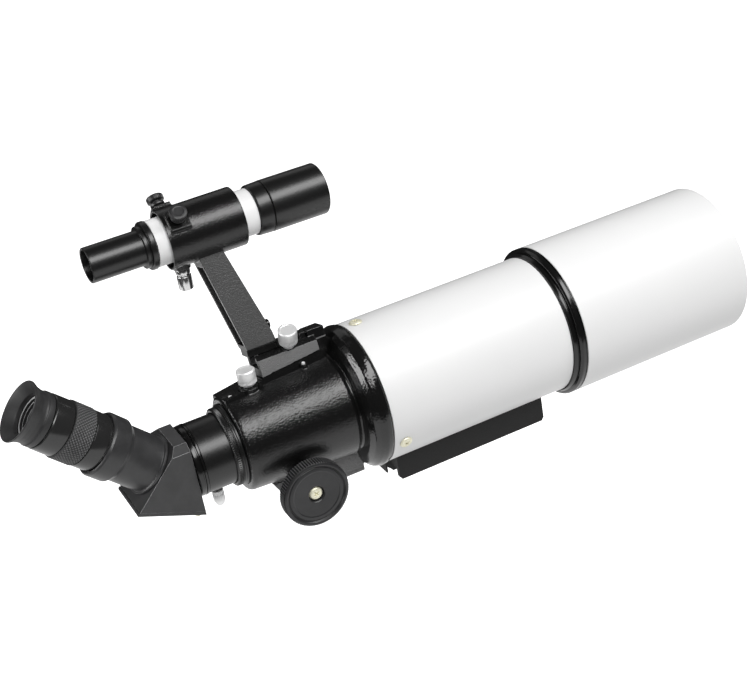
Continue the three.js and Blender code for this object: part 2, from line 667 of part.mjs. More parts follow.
put(axis, 'diagonal_body', diagonalBody(), mattBlack);
put(axis, 'diagonal_cover', diagonalCover(), mattBlack);
put(axis, 'erecting_prism', erectingPrism(), glass);
put(axis, 'diagonal_nose', tube(DIAGONAL_FRONT + GAP, -149, NOSE_R, NOSE_R - 1.2, ROUND), chrome);
COVER_SCREWS.forEach(([along, y], i) => {
  const [x, z] = onBase(along, -GAP);
  const out = v(-Math.sin(BASE_SLOPE), 0, -Math.cos(BASE_SLOPE));
  const screw = aimed(panScrew(5, 1.0, 2.3, 0.9), out, v(x, y, z));
  put(axis, `diagonal_screw_${i + 1}`, screw, brass);
});

const TUBE_FOOT = 10.6;            // distances along the eyepiece axis from here on
const COLLAR_END = 47.8;
const EYEPIECE_SHOULDER = 48.2;

function diagonalEyepieceTube() {
  const bore = NOSE_R + 0.25;
  const body = turned([
    [TUBE_FOOT, 15], [TUBE_FOOT, 18.4], [TUBE_FOOT + 1.6, 18.4], [TUBE_FOOT + 2, EYEPIECE_TUBE_R],
    [33, EYEPIECE_TUBE_R], [36.2, 19.2], [46.3, 19.3], [COLLAR_END - 0.3, 18.6],
    [COLLAR_END, 17.9], [COLLAR_END - 1.4, bore], [18, bore], [18, 15],
  ], ROUND);
  const screwHole = aimed(rod(12, 25, 1.6, HOLE), left, v(41.5, 0, 0));
  return combine([body], [screwHole]);
}

put(eyepiece, 'diagonal_eyepiece_tube', diagonalEyepieceTube(), mattBlack);
put(eyepiece, 'eyepiece_thumb_screw', aimed(
  thumbScrew({ shank: 3.2, shankR: 1.3, headR: 3.3, headLength: 6, dome: 1.8 }),
  left, v(41.5, 19.6, 0)), silver);

function eyepieceBody() {
  return turned([
    [EYEPIECE_SHOULDER, 13.2], [EYEPIECE_SHOULDER, EYEPIECE_R], [58, EYEPIECE_R],
    [58, 15.8], [72.2, 15.8], [72.2, 16.7], [83.6, 16.7], [84.4, 16.2], [84.4, 14.2],
    [90.6, 14.2], [90.6, 12], [87, 11.4], [87, 13], [60, 13.2],
  ], ROUND);
}

function eyecup() {
  return turned([
    [84.8, 14.5], [84.8, 16.5], [88.6, 16.4], [89.2, 15.9], [92, 15.9], [95, 16.5],
    [97.6, 17.9], [98.8, 18.4], [99.2, 18], [98.9, 17.3], [97, 15.6], [93.8, 12.5],
    [91, 12.5], [91, 14.5],
  ], ROUND);
}

put(eyepiece, 'eyepiece_barrel', tube(22, EYEPIECE_SHOULDER - GAP, NOSE_R, 14.6, ROUND), chrome);
put(eyepiece, 'eyepiece_body', eyepieceBody(), satinBlack);
put(eyepiece, 'eyepiece_grip', turned([
  [58.3, 16.1], [58.3, 17.3], [58.9, 17.6], [71.3, 17.6], [71.9, 17.3], [71.9, 16.1],
], ROUND), rubber);
put(eyepiece, 'field_lens', lens(62, 66, 1.4, 1.4, 12.6, ROUND), glass);
put(eyepiece, 'eye_lens', lens(82, 84.6, 1.2, 1.2, 12.4, ROUND), glass);
put(eyepiece, 'eyecup', eyecup(), rubber);

// ---------------------------------------------------------------- finder shoe and bracket

const SLOT_FLOOR = 38.9;
// The shoe's long rails slope inwards and up to this line.
const RAIL_HALF_WIDTH = 6.4;
const RAIL_TOP = 46.5;
const STOP_TOP = 50.2;                 // block that closes the front of the slot
const CLAMP_LEAN = THREE.MathUtils.degToRad(33);
const CLAMP = v(-98, -7, 45.9);             // where the clamp screw's head sits on the near wall
const CLAMP_OUT = v(0, -Math.sin(CLAMP_LEAN), Math.cos(CLAMP_LEAN));

// A section of [y, z] points, extruded along X.
function section(points, x0, x1) {
  const shape = new THREE.Shape(points.map(([y, z]) => new THREE.Vector2(y, z)));
  const geometry = new THREE.ExtrudeGeometry(shape, { depth: x1 - x0, bevelEnabled: false });
  geometry.rotateZ(Math.PI / 2);
  geometry.rotateY(Math.PI / 2);
  geometry.translate(x0, 0, 0);
  return closed(geometry);
}

function finderShoe() {
  const low = padHeight(SHOE_REAR) - 2;
  const block = section([
    [-SHOE_HALF_WIDTH, low], [SHOE_HALF_WIDTH, low],
    [SHOE_HALF_WIDTH, SHOE_TOP], [RAIL_HALF_WIDTH, RAIL_TOP],
    [-RAIL_HALF_WIDTH, RAIL_TOP], [-SHOE_HALF_WIDTH, SHOE_TOP],
  ], SHOE_REAR, SHOE_FRONT);
  const slot = section([
    [-7.6, SLOT_FLOOR], [7.6, SLOT_FLOOR], [5.9, SHOE_TOP + 1], [5.9, RAIL_TOP + 1],
    [-5.9, RAIL_TOP + 1], [-5.9, SHOE_TOP + 1],
  ], SHOE_REAR - 1, SHOE_FRONT - 4);
  const underside = plate([
    [SHOE_REAR - 1, 0], [SHOE_REAR - 1, padHeight(SHOE_REAR - 1) + GAP],
    [SHOE_FRONT + 1, padHeight(SHOE_FRONT + 1) + GAP], [SHOE_FRONT + 1, 0],
  ], -30, 30);
  const clampHole = aimed(rod(-20, 10, 1.9, HOLE), CLAMP_OUT, CLAMP);
  const clampSeat = aimed(rod(-0.3, 12, 4.6, SMALL), CLAMP_OUT, CLAMP);
  const stop = box(
    SHOE_FRONT - 3.7, SHOE_FRONT + 4, -RAIL_HALF_WIDTH, RAIL_HALF_WIDTH, SHOE_TOP - 1, STOP_TOP);
  return combine([block, stop], [slot, underside, clampHole, clampSeat]);
}

put(leaning, 'finder_shoe', finderShoe(), blackEnamel);
put(leaning, 'finder_clamp_screw', aimed(
  thumbScrew({ shank: 5.4, shankR: 1.6, headR: 5.8, headLength: 10, collar: 3 }),
  CLAMP_OUT, CLAMP), silver);

const FOOT_REAR = -123.5;
const FOOT_FRONT = -104.6;
const HEEL = -116.9;                   // rear end of the dovetail and of the neck above it
const STALK_BASE = 51.6;
const STALK_HALF_WIDTH = 8.5;
const STALK_WALL = 2.2;
const RING_CENTRE = FINDER_HEIGHT;
// The stalk rakes backwards: how far it goes back for each millimetre up.
const STALK_SWEEP = 0.185;
const stalkRear = (z) => FOOT_REAR - STALK_SWEEP * (z - STALK_BASE);
const stalkFront = (z) => FOOT_FRONT - (STALK_SWEEP + 0.055) * (z - STALK_BASE);

// Screws around the ring: degrees from straight up in the leaning frame, and the radius where the
// tip stops short of the tilted tube.
const ADJUSTERS = {
  top: { x: -143.5, degrees: 30, tip: 15.6 },
  side: { x: -141.5, degrees: -55, tip: 16.4 },
};
const PLUNGER_X = -142.5;
const PLUNGER_ANGLE = 165;
const PLUNGER_TIP = 15.2;
const PLUNGER_R = 4.4;

function around(degrees) {
  const a = THREE.MathUtils.degToRad(degrees);
  return v(0, Math.sin(a), Math.cos(a));
}

// Foot, hollow stalk and ring are one casting.
function finderBracket() {
  const ring = turned([
    [RING_REAR, RING_BORE_R], [RING_REAR, RING_R - 0.5], [RING_REAR + 0.6, RING_R],
    [RING_FRONT - 0.8, RING_R], [RING_FRONT, RING_R - 0.7], [RING_FRONT, RING_BORE_R],
  ], FINE).translate(0, 0, RING_CENTRE);
  const ringBore = rod(RING_REAR - 5, RING_FRONT + 5, RING_BORE_R, FINE).translate(0, 0, RING_CENTRE);
  const top = RING_CENTRE - RING_R + 4;
  const stalk = plate([
    [FOOT_REAR, STALK_BASE], [FOOT_FRONT, STALK_BASE], [stalkFront(STALK_BASE + 6) + 0.8,
      STALK_BASE + 6], [stalkFront(top), top], [stalkRear(top), top],
  ], -STALK_HALF_WIDTH, STALK_HALF_WIDTH);
  const web = 3;
  const groove = plate([
    [FOOT_REAR - 20, STALK_BASE + 3], [FOOT_FRONT - 3 - web, STALK_BASE + 3],
    [stalkFront(top - 8) - web, top - 8], [stalkRear(top) - 20, top - 8],
  ], -STALK_HALF_WIDTH + STALK_WALL, STALK_HALF_WIDTH - STALK_WALL);
  const neck = box(HEEL, FOOT_FRONT, -5.4, 5.4, SLOT_FLOOR + 4, STALK_BASE + 0.5);
  const ridge = box(FOOT_FRONT - 1, SHOE_FRONT - 5, -3.6, 3.6, SLOT_FLOOR + 4, STOP_TOP - 0.4);
  const shoulder = box(FOOT_REAR, FOOT_FRONT, -6.3, 6.3, RAIL_TOP + 0.4, STALK_BASE + 0.5);
  const dovetail = section([
    [-6.9, SLOT_FLOOR + GAP], [6.9, SLOT_FLOOR + GAP], [5.4, SHOE_TOP], [-5.4, SHOE_TOP],
  ], HEEL, SHOE_FRONT - 5);
  const screwPad = ({ degrees, x }) => aimed(
    box(RING_BORE_R - 0.4, RING_R + 1.6, -6.5, 6.5, -6, 6), around(degrees), v(x, 0, RING_CENTRE));
  const plungerBoss = aimed(
    rod(RING_BORE_R - 0.4, RING_R + 2.2, PLUNGER_R + 1), around(PLUNGER_ANGLE),
    v(PLUNGER_X, 0, RING_CENTRE));
  const hole = ({ degrees, x }, r) => aimed(
    rod(10, 30, r, HOLE), around(degrees), v(x, 0, RING_CENTRE));
  const plunger = { x: PLUNGER_X, degrees: PLUNGER_ANGLE };
  const clampNotch = box(CLAMP.x - 2.4, CLAMP.x + 9, -12, -2.1, SLOT_FLOOR + 0.9, RAIL_TOP);
  return combine(
    [ring, stalk, neck, shoulder, ridge, dovetail,
      screwPad(ADJUSTERS.top), screwPad(ADJUSTERS.side), plungerBoss],
    [ringBore, groove, hole(ADJUSTERS.top, 1.9), hole(ADJUSTERS.side, 1.9), hole(plunger, 3.9),
      clampNotch]);
}

put(leaning, 'finder_bracket', finderBracket(), blackEnamel);

for (const [name, { x, degrees, tip }] of Object.entries(ADJUSTERS)) {
  const out = around(degrees);
  const head = RING_R + 3.2;
  const seat = out.clone().multiplyScalar(head).add(v(x, 0, RING_CENTRE));
  put(leaning, `adjuster_screw_${name}`, aimed(
    thumbScrew({ shank: head - tip, shankR: 1.6, headR: 5.3, headLength: 3.4, collar: 3.4 }),
    out, seat), mattBlack);
}

function plungerHousing() {
  const r = RING_R + 2.2;
  return turned([
    [r - 5.2, 2.2], [r - 5.2, 3.1], [r + GAP, 3.1], [r + GAP, PLUNGER_R],
    [r + 3, PLUNGER_R], [r + 3.4, PLUNGER_R - 0.6], [r + 4.4, PLUNGER_R - 0.6],
    [r + 4.8, PLUNGER_R], [r + 13, PLUNGER_R], [r + 13, 2.2],
  ], SMALL);
}

function plungerPin() {
  const r = RING_R + 2.2;
  return turned([
    [PLUNGER_TIP, 0], [PLUNGER_TIP + 0.8, 1.4], [PLUNGER_TIP + 1.4, 1.8],
    [r + 12, 1.8], [r + 12, 0],
  ], 12);
}

put(leaning, 'plunger_housing', aimed(plungerHousing(), around(PLUNGER_ANGLE),
  v(PLUNGER_X, 0, RING_CENTRE)), chrome);
put(leaning, 'plunger_pin', aimed(plungerPin(), around(PLUNGER_ANGLE),
  v(PLUNGER_X, 0, RING_CENTRE)), chrome);

// ---------------------------------------------------------------- finder

put(finder, 'finder_o_ring', turned([
  [-1.6, FINDER_TUBE_R + 0.2], [-1.6, 15.4], [-0.8, 16], [0.8, 16], [1.6, 15.4],
  [1.6, FINDER_TUBE_R + 0.2],
], ROUND), rubber);

// The white tube carries a thinner threaded spigot for the lock ring and the objective cell.
function finderTube() {
  const inner = FINDER_TUBE_R - 1.2;
  return turned([
    [-52, inner], [-52, FINDER_TUBE_R], [12, FINDER_TUBE_R], [12, 12.4], [34, 12.4],
    [34, 11.2], [9, 11.2], [9, inner],
  ], ROUND);
}

put(finder, 'finder_tube', finderTube(), white);

function finderLockRing() {
  return turned([
    [12.3, 12.6], [12.3, 15], [13, 15.4], [20.6, 15.7], [21, 15.4], [21, 12.6],
  ], ROUND);
}

function finderCell() {
  return turned([
    [21.4, 12.6], [21.4, 15.4], [21.8, 15.8], [57.2, 15.8], [57.8, 15.2], [57.4, 14.4],
    [50, 13.8], [50, 12.6], [46.5, 12.6], [46.5, 11.4], [42, 11.4], [42, 12.6],
  ], ROUND);
}

put(finder, 'finder_lock_ring', finderLockRing(), satinBlack);
put(finder, 'finder_cell', finderCell(), satinBlack);
put(finder, 'finder_objective', lens(46.9, 49.4, -0.5, 0.8, 12.2, ROUND), glass);

function finderEyepiece() {
  return turned([
    [-91, 9.3], [-91, 10.3], [-90.6, 10.6], [-58.6, 10.6], [-58.4, 12.6], [-56.6, 12.8],
    [-56.4, 12], [-55.8, 12], [-55.6, 14.2], [-55, 14.5], [-52.8, 14.5], [-52.4, 14.1],
    [-52.4, 12.5], [-44, 12.5], [-44, 9], [-85, 9], [-85, 8], [-87, 8], [-87, 9.3],
  ], ROUND);
}

put(finder, 'finder_eyepiece', finderEyepiece(), satinBlack);
put(finder, 'finder_eye_lens', lens(-84.1, -81.6, 0.6, 0.8, 8.7, ROUND), glass);

export default telescope;
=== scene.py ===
"""The looks of a small refractor telescope with its finder.

Lengths of the object are in millimetres, and place() scales them to metres. Bump depths, the lights
and the camera are in metres.
"""

import json
import math

import bmesh
import bpy
from mathutils import Matrix, Vector


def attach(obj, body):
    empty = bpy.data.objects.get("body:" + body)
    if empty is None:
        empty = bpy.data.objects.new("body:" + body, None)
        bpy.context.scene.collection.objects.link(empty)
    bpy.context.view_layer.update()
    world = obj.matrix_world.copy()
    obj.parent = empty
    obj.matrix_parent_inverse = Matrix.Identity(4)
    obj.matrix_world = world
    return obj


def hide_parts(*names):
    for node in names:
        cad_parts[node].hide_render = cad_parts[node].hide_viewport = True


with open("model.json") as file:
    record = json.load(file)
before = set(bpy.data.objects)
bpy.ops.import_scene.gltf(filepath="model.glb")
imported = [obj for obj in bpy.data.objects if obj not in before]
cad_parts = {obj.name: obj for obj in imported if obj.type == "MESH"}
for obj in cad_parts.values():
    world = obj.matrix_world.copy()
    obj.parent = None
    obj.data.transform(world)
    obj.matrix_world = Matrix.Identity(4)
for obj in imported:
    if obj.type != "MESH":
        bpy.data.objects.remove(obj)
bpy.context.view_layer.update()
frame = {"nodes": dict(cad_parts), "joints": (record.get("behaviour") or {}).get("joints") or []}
nodes = frame["nodes"]
joints = {j["name"]: j for j in frame["joints"]}

MM = 0.001
TURN = 2 * math.pi
# Segments around a turned piece, from the main tube down to a screw.
LARGE = 192
FINE = 128
MEDIUM = 72
SMALL = 40


# ---------------------------------------------------------------- places


def place(origin, along, across):
    """A frame in millimetres at an origin in metres: X runs along, Y as near across as it can."""
    x = Vector(along).normalized()
    z = x.cross(Vector(across)).normalized()
    y = z.cross(x)
    turn = Matrix((x, y, z)).transposed().to_4x4()
    return Matrix.Translation(Vector(origin)) @ turn @ Matrix.Scale(MM, 4)


def moved(frame_matrix, x=0.0, y=0.0, z=0.0):
    return frame_matrix @ Matrix.Translation((x, y, z))


def aimed(frame_matrix, direction, x=0.0, y=0.0, z=0.0, across=(1, 0, 0)):
    """A frame at a point of another frame, with its X along a direction of that frame."""
    to = Vector(direction).normalized()
    side = Vector(across)
    nearly_parallel = 0.99
    if abs(to.dot(side)) > nearly_parallel:
        side = Vector((0, 1, 0))
    third = to.cross(side).normalized()
    turn = Matrix((to, third.cross(to), third)).transposed().to_4x4()
    return frame_matrix @ Matrix.Translation((x, y, z)) @ turn


FORWARD, UP, DOWN, LEFT, RIGHT = (1, 0, 0), (0, 0, 1), (0, 0, -1), (0, 1, 0), (0, -1, 0)
BACKWARD = Vector((-1, 0, 0))
AXIS_Z = joints["diagonal_turn"]["pos_m"][2]
LEAN = Vector(joints["finder_pan"]["axis"])
LEAN_SIDE = LEAN.cross(FORWARD)
ACROSS = LEAN_SIDE.normalized()
# The main tube's frame, the same one leaning to the finder's side, the finder's and the eyepiece's.
AXIS = place((0, 0, AXIS_Z), FORWARD, LEFT)
LEANING = place((0, 0, AXIS_Z), FORWARD, LEAN_SIDE)
TO_LEANING = LEANING.inverted()
FINDER = place(joints["finder_pan"]["pos_m"], joints["finder_focus"]["axis"], LEAN_SIDE)
EYE_X = -191.0
EYE = place((EYE_X * MM, 0, AXIS_Z), joints["eyepiece_slide"]["axis"], LEFT)


# ---------------------------------------------------------------- materials


def grey(level):
    return (level, level, level)


def shader(name, color, roughness, metallic=0.0):
    mat = bpy.data.materials.new(name)
    mat.use_nodes = True
    bsdf = mat.node_tree.nodes["Principled BSDF"]
    bsdf.inputs["Base Color"].default_value = (*color, 1)
    bsdf.inputs["Roughness"].default_value = roughness
    bsdf.inputs["Metallic"].default_value = metallic
    return mat, mat.node_tree, bsdf


def grain(tree, scale, detail=3.0, rough=0.55):
    """Noise in the piece's own coordinates; scale is in cycles per metre."""
    coord = tree.nodes.new("ShaderNodeTexCoord")
    noise = tree.nodes.new("ShaderNodeTexNoise")
    noise.inputs["Scale"].default_value = scale
    noise.inputs["Detail"].default_value = detail
    noise.inputs["Roughness"].default_value = rough
    tree.links.new(coord.outputs["Object"], noise.inputs["Vector"])
    return noise.outputs["Fac"]


def spread(tree, value, low, high):
    """Maps the middle part of a noise value to a range."""
    node = tree.nodes.new("ShaderNodeMapRange")
    node.inputs["From Min"].default_value = 0.3
    node.inputs["From Max"].default_value = 0.7
    node.inputs["To Min"].default_value = low
    node.inputs["To Max"].default_value = high
    tree.links.new(value, node.inputs["Value"])
    return node.outputs["Result"]


def tint(tree, value, dark, light):
    """A colour between two by a noise value."""
    ramp = tree.nodes.new("ShaderNodeValToRGB")
    ramp.color_ramp.elements[0].position = 0.35
    ramp.color_ramp.elements[0].color = (*dark, 1)
    ramp.color_ramp.elements[1].position = 0.65
    ramp.color_ramp.elements[1].color = (*light, 1)
    tree.links.new(value, ramp.inputs["Fac"])
    return ramp.outputs["Color"]


def bumped(tree, bsdf, height, distance):
    bump = tree.nodes.new("ShaderNodeBump")
    bump.inputs["Strength"].default_value = 1.0
    bump.inputs["Distance"].default_value = distance
    tree.links.new(height, bump.inputs["Height"])
    tree.links.new(bump.outputs["Normal"], bsdf.inputs["Normal"])


def white_enamel():
    mat, tree, bsdf = shader("white_enamel", (0.83, 0.83, 0.825), 0.26)
    mottled = tint(tree, grain(tree, 25, 2), grey(0.83), (0.84, 0.84, 0.838))
    tree.links.new(mottled, bsdf.inputs["Base Color"])
    tree.links.new(spread(tree, grain(tree, 300), 0.4, 0.44), bsdf.inputs["Roughness"])
    bumped(tree, bsdf, grain(tree, 500, 2), 0.000003)
    return mat


def cast_enamel(name, cell, depth, low, high, color):
    """Dark paint with the orange-peel texture of a coated casting, from glossy to matt; given a
    lighter grey it makes a copy of the paint with light painted in.
    """
    mat, tree, bsdf = shader(name, color, 0.3)
    coarse = grain(tree, cell, 0.5, 0.4)
    tree.links.new(spread(tree, grain(tree, cell * 0.6), low, high), bsdf.inputs["Roughness"])
    bsdf.inputs["Specular IOR Level"].default_value = 0.6
    bumped(tree, bsdf, coarse, depth)
    return mat


def anodised(name, color=grey(0.006), low=0.27, high=0.34):
    mat, tree, bsdf = shader(name, color, 0.34)
    tree.links.new(spread(tree, grain(tree, 1500, 4), low, high), bsdf.inputs["Roughness"])
    bsdf.inputs["Specular IOR Level"].default_value = 0.65
    bumped(tree, bsdf, grain(tree, 2600, 2), 0.00001)
    return mat


def moulded(name, color, low, high, cell=1800, depth=0.00004):
    mat, tree, bsdf = shader(name, color, 0.5)
    darker = tuple(c * 0.88 for c in color)
    lighter = tuple(c * 1.12 for c in color)
    tree.links.new(tint(tree, grain(tree, 130), darker, lighter), bsdf.inputs["Base Color"])
    tree.links.new(spread(tree, grain(tree, cell * 0.5), low, high), bsdf.inputs["Roughness"])
    bumped(tree, bsdf, grain(tree, cell, 2), depth)
    return mat


def machined(name, color, low, high, metallic=1.0):
    """Turned bare metal, with fine tool marks."""
    mat, tree, bsdf = shader(name, color, 0.25, metallic)
    tree.links.new(spread(tree, grain(tree, 1400, 4), low, high), bsdf.inputs["Roughness"])
    bumped(tree, bsdf, grain(tree, 4200, 2), 0.000006)
    return mat


def coated_glass():
    mat, tree, bsdf = shader("coated_glass", (0.86, 0.95, 0.9), 0.02)
    bsdf.inputs["Transmission Weight"].default_value = 1.0
    bsdf.inputs["IOR"].default_value = 1.52
    tree.links.new(spread(tree, grain(tree, 90), 0.01, 0.03), bsdf.inputs["Roughness"])
    return mat


WHITE = white_enamel()
CAST = cast_enamel("cast_black", 1200, 0.00021, 0.19, 0.23, grey(0.006))
CAST_FINE = cast_enamel("cast_black_fine", 1400, 0.00013, 0.22, 0.26, grey(0.006))
CAST_GLOSS = cast_enamel("cast_black_gloss", 900, 0.00009, 0.12, 0.16, grey(0.006))
# Painted light: a lighter, matt copy of the casting paint for the stalk's side faces, standing in
# for the light they catch.
CAST_SIDE_PAINTED_LIGHT = cast_enamel("cast_matt_side_painted_light", 1400, 0.0004, 0.42, 0.55, grey(0.055))
# Painted light: a pale grey copy of the casting paint for faces turned towards the lamps.
CAST_PAINTED_LIGHT = cast_enamel("cast_grey_painted_light", 1300, 0.0004, 0.45, 0.6, grey(0.15))
# Painted highlight, not wear: a light grey for the bracket's rear lip, where the side lamp catches
# the edge.
CAST_PAINTED_EDGE_HIGHLIGHT = cast_enamel("cast_edge_painted_highlight", 1300, 0.0001, 0.3, 0.4, grey(0.3))
GLOSS = cast_enamel("gloss_black", 500, 0.00001, 0.14, 0.2, grey(0.005))
ANODISED = anodised("anodised_black")
EYE_BLACK = anodised("eyepiece_black", grey(0.02), 0.15, 0.2)
DULL = moulded("dull_black", grey(0.006), 0.6, 0.7, 2000, 0.00001)
BAFFLE = moulded("baffle_black", grey(0.008), 0.8, 0.95)
PLASTIC = moulded("moulded_black", (0.036, 0.036, 0.037), 0.28, 0.36)
# Painted highlight: a light grey for bevels and steps of the black plastic that catch the lamps.
PLASTIC_PAINTED_HIGHLIGHT = moulded("moulded_painted_highlight", (0.4, 0.4, 0.405), 0.3, 0.4)
KNOB = moulded("knob_black", (0.022, 0.022, 0.023), 0.28, 0.38)
# Painted highlight: a lighter grey for the raised tops of knurling and for rims that catch the
# lamps.
KNURL_PAINTED_HIGHLIGHT = moulded("knurl_painted_highlight", (0.11, 0.11, 0.112), 0.3, 0.4)
RUBBER = moulded("rubber_black", (0.026, 0.026, 0.0265), 0.42, 0.52, 1500, 0.00004)
SILVER = machined("bright_aluminium", grey(0.95), 0.34, 0.44, 0.5)
CHROME = machined("chrome", grey(0.72), 0.1, 0.16, 0.95)
BRASS = machined("pale_brass", (0.9, 0.87, 0.68), 0.34, 0.45, 0.35)
STEEL = machined("plain_steel", grey(0.6), 0.25, 0.4)
GLASS = coated_glass()


# ---------------------------------------------------------------- meshes


def shaded(bm, angle):
    """Smooth faces, with the edges over the angle left sharp."""
    limit = math.radians(angle)
    for face in bm.faces:
        face.smooth = True
    for edge in bm.edges:
        edge.smooth = len(edge.link_faces) == 2 and edge.calc_face_angle(0.0) < limit


def piece(name, bm, mats, body, stands_for=None, sharp=38):
    """Adds a finished mesh to the scene, riding on its body."""
    bmesh.ops.recalc_face_normals(bm, faces=bm.faces)
    shaded(bm, sharp)
    mesh = bpy.data.meshes.new(name)
    bm.to_mesh(mesh)
    bm.free()
    return added(name, mesh, mats, body, stands_for)


def added(name, mesh, mats, body, stands_for=None):
    look = mats if isinstance(mats, (list, tuple)) else [mats]
    mesh.materials.clear()
    for mat in look:
        mesh.materials.append(mat)
    obj = bpy.data.objects.new(name, mesh)
    bpy.context.scene.collection.objects.link(obj)
    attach(obj, body)
    if stands_for:
        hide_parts(stands_for)
    return obj


def rounded(points, radius):
    """A closed outline with each corner turned into a small arc. A corner on the axis stays."""
    made = []
    count = len(points)
    steps = 3
    slightest_bend, sharpest_bend = 0.12, 3.0
    for i, point in enumerate(points):
        p = Vector(point)
        before = Vector(points[i - 1]) - p
        after = Vector(points[(i + 1) % count]) - p
        if min(before.length, after.length) < 1e-6 or abs(p.y) < 1e-9:
            made.append(tuple(p))
            continue
        a, b = before.normalized(), after.normalized()
        bend = math.pi - math.acos(max(-1, min(1, a.dot(b))))
        if bend < slightest_bend or bend > sharpest_bend:
            made.append(tuple(p))
            continue
        reach = min(radius * math.tan(bend / 2), 0.42 * before.length, 0.42 * after.length)
        start, end = p + a * reach, p + b * reach
        for k in range(steps + 1):
            t = k / steps
            curve = start * (1 - t) ** 2 + p * 2 * t * (1 - t) + end * t**2
            made.append(tuple(curve))
    return made


def revolve(profile, where, segments, shape=None):
    """A solid of revolution about X from a closed outline of (x, radius)."""
    bm = bmesh.new()
    rings = []
    for x, r in profile:
        if abs(r) < 1e-9:
            rings.append([bm.verts.new(where @ Vector((x, 0, 0)))])
            continue
        ring = []
        for k in range(segments):
            angle = TURN * k / segments
            radius = shape(x, r, k, segments) if shape else r
            point = Vector((x, radius * math.cos(angle), radius * math.sin(angle)))
            ring.append(bm.verts.new(where @ point))
        rings.append(ring)
    for a, b in zip(rings, rings[1:] + rings[:1]):
        if len(a) == 1 and len(b) == 1:
            continue
        for k in range(segments):
            m = (k + 1) % segments
            if len(a) == 1:
                bm.faces.new((a[0], b[k], b[m]))
            elif len(b) == 1:
                bm.faces.new((a[k], b[0], a[m]))
            else:
                bm.faces.new((a[k], b[k], b[m], a[m]))
    return bm


def turned(name, profile, where, mat, body, stands_for=None, segments=MEDIUM, soft=0.25,
           shape=None):
    bm = revolve(rounded(profile, soft), where, segments, shape)
    return piece(name, bm, mat, body, stands_for)


def ribs(x0, x1, depth, least=0.0):
    """Straight knurling between two stations: every other pair of vertices sits lower."""

    def shape(x, r, k, _):
        return r - depth if x0 <= x <= x1 and r > least and k % 4 < 2 else r

    return shape


def extruded(outline, y0, y1, where):
    """A side outline of (x, z) extruded across Y, as a bmesh."""
    bm = bmesh.new()
    near = [bm.verts.new(where @ Vector((x, y0, z))) for x, z in outline]
    far = [bm.verts.new(where @ Vector((x, y1, z))) for x, z in outline]
    bm.faces.new(near)
    bm.faces.new(list(reversed(far)))
    for i in range(len(outline)):
        j = (i + 1) % len(outline)
        bm.faces.new((near[j], near[i], far[i], far[j]))
    bmesh.ops.recalc_face_normals(bm, faces=bm.faces)
    return bm


def sectioned(outline, x0, x1, where):
    """A section of (y, z) extruded along X, as a bmesh."""
    turn = Matrix(((0, 1, 0, 0), (1, 0, 0, 0), (0, 0, 1, 0), (0, 0, 0, 1)))
    return extruded(outline, x0, x1, where @ turn)


def block(x0, x1, y0, y1, z0, z1, where):
    return extruded([(x0, z0), (x1, z0), (x1, z1), (x0, z1)], y0, y1, where)


def rod(x0, x1, r, where, segments=SMALL):
    return revolve([(x0, 0), (x0, r), (x1, r), (x1, 0)], where, segments)


def loose(bm):
    """A bmesh as a plain object, for cutting and joining."""
    bmesh.ops.recalc_face_normals(bm, faces=bm.faces)
    mesh = bpy.data.meshes.new("tool")
    bm.to_mesh(mesh)
    bm.free()
    obj = bpy.data.objects.new("tool", mesh)
    bpy.context.scene.collection.objects.link(obj)
    return obj


def baked(obj):
    """The object's mesh with its modifiers applied."""
    view = bpy.context.evaluated_depsgraph_get()
    return bpy.data.meshes.new_from_object(obj.evaluated_get(view))


def carved(base, joins=(), cuts=(), voxel=None, smooth=0):
    """Joins and cuts bmeshes with exact booleans; a casting is then remeshed and relaxed."""
    obj = loose(base)
    tools = []
    for operation, group in (("UNION", joins), ("DIFFERENCE", cuts)):
        for bm in group:
            tool = loose(bm)
            tools.append(tool)
            step = obj.modifiers.new("carve", "BOOLEAN")
            step.operation = operation
            step.solver = "EXACT"
            step.object = tool
    if voxel:
        remesh = obj.modifiers.new("remesh", "REMESH")
        remesh.mode = "VOXEL"
        remesh.voxel_size = voxel * MM
    if smooth:
        relax = obj.modifiers.new("relax", "SMOOTH")
        relax.factor = 0.5
        relax.iterations = smooth
    mesh = baked(obj)
    for tool in tools + [obj]:
        bpy.data.objects.remove(tool)
    return mesh


def casting(name, mesh, mat, body, stands_for=None, sharp=180):
    """A carved mesh as a piece."""
    bm = bmesh.new()
    bm.from_mesh(mesh)
    return piece(name, bm, mat, body, stands_for, sharp)


# A limit for finish_faces that lets faces of every direction through.
ANY_WAY = -2


def finish_faces(obj, mat, facing, test=None, limit=0.85):
    """Gives the faces that look along a direction of the scene another material; with a lighter
    material this paints light on the faces turned to a lamp.
    """
    obj.data.materials.append(mat)
    slot = len(obj.data.materials) - 1
    for face in obj.data.polygons:
        if face.normal.dot(facing) > limit and (test is None or test(face.center)):
            face.material_index = slot


def highlight(obj, mat, where, x0, x1, radius):
    """Gives the raised parts of a knurled band their own, lighter material: a painted highlight on
    the tops.
    """
    obj.data.materials.append(mat)
    slot = len(obj.data.materials) - 1
    local = where.inverted()
    for face in obj.data.polygons:
        x, y, z = local @ face.center
        if x0 < x < x1 and math.hypot(y, z) > radius:
            face.material_index = slot


def eased(obj, width, segments=2):
    """Rounds the edges of an object with modifiers."""
    weld = obj.modifiers.new("weld", "WELD")
    weld.merge_threshold = 1e-6
    bevel = obj.modifiers.new("edges", "BEVEL")
    bevel.width = width * MM
    bevel.segments = segments
    bevel.limit_method = "ANGLE"
    bevel.angle_limit = math.radians(32)
    bevel.harden_normals = True
    return obj


def bevelled(name, mat, width=0.3, segments=2):
    """Keeps a CAD node and eases its edges."""
    obj = nodes[name]
    obj.data.materials.clear()
    obj.data.materials.append(mat)
    return eased(obj, width, segments)


# ---------------------------------------------------------------- small parts


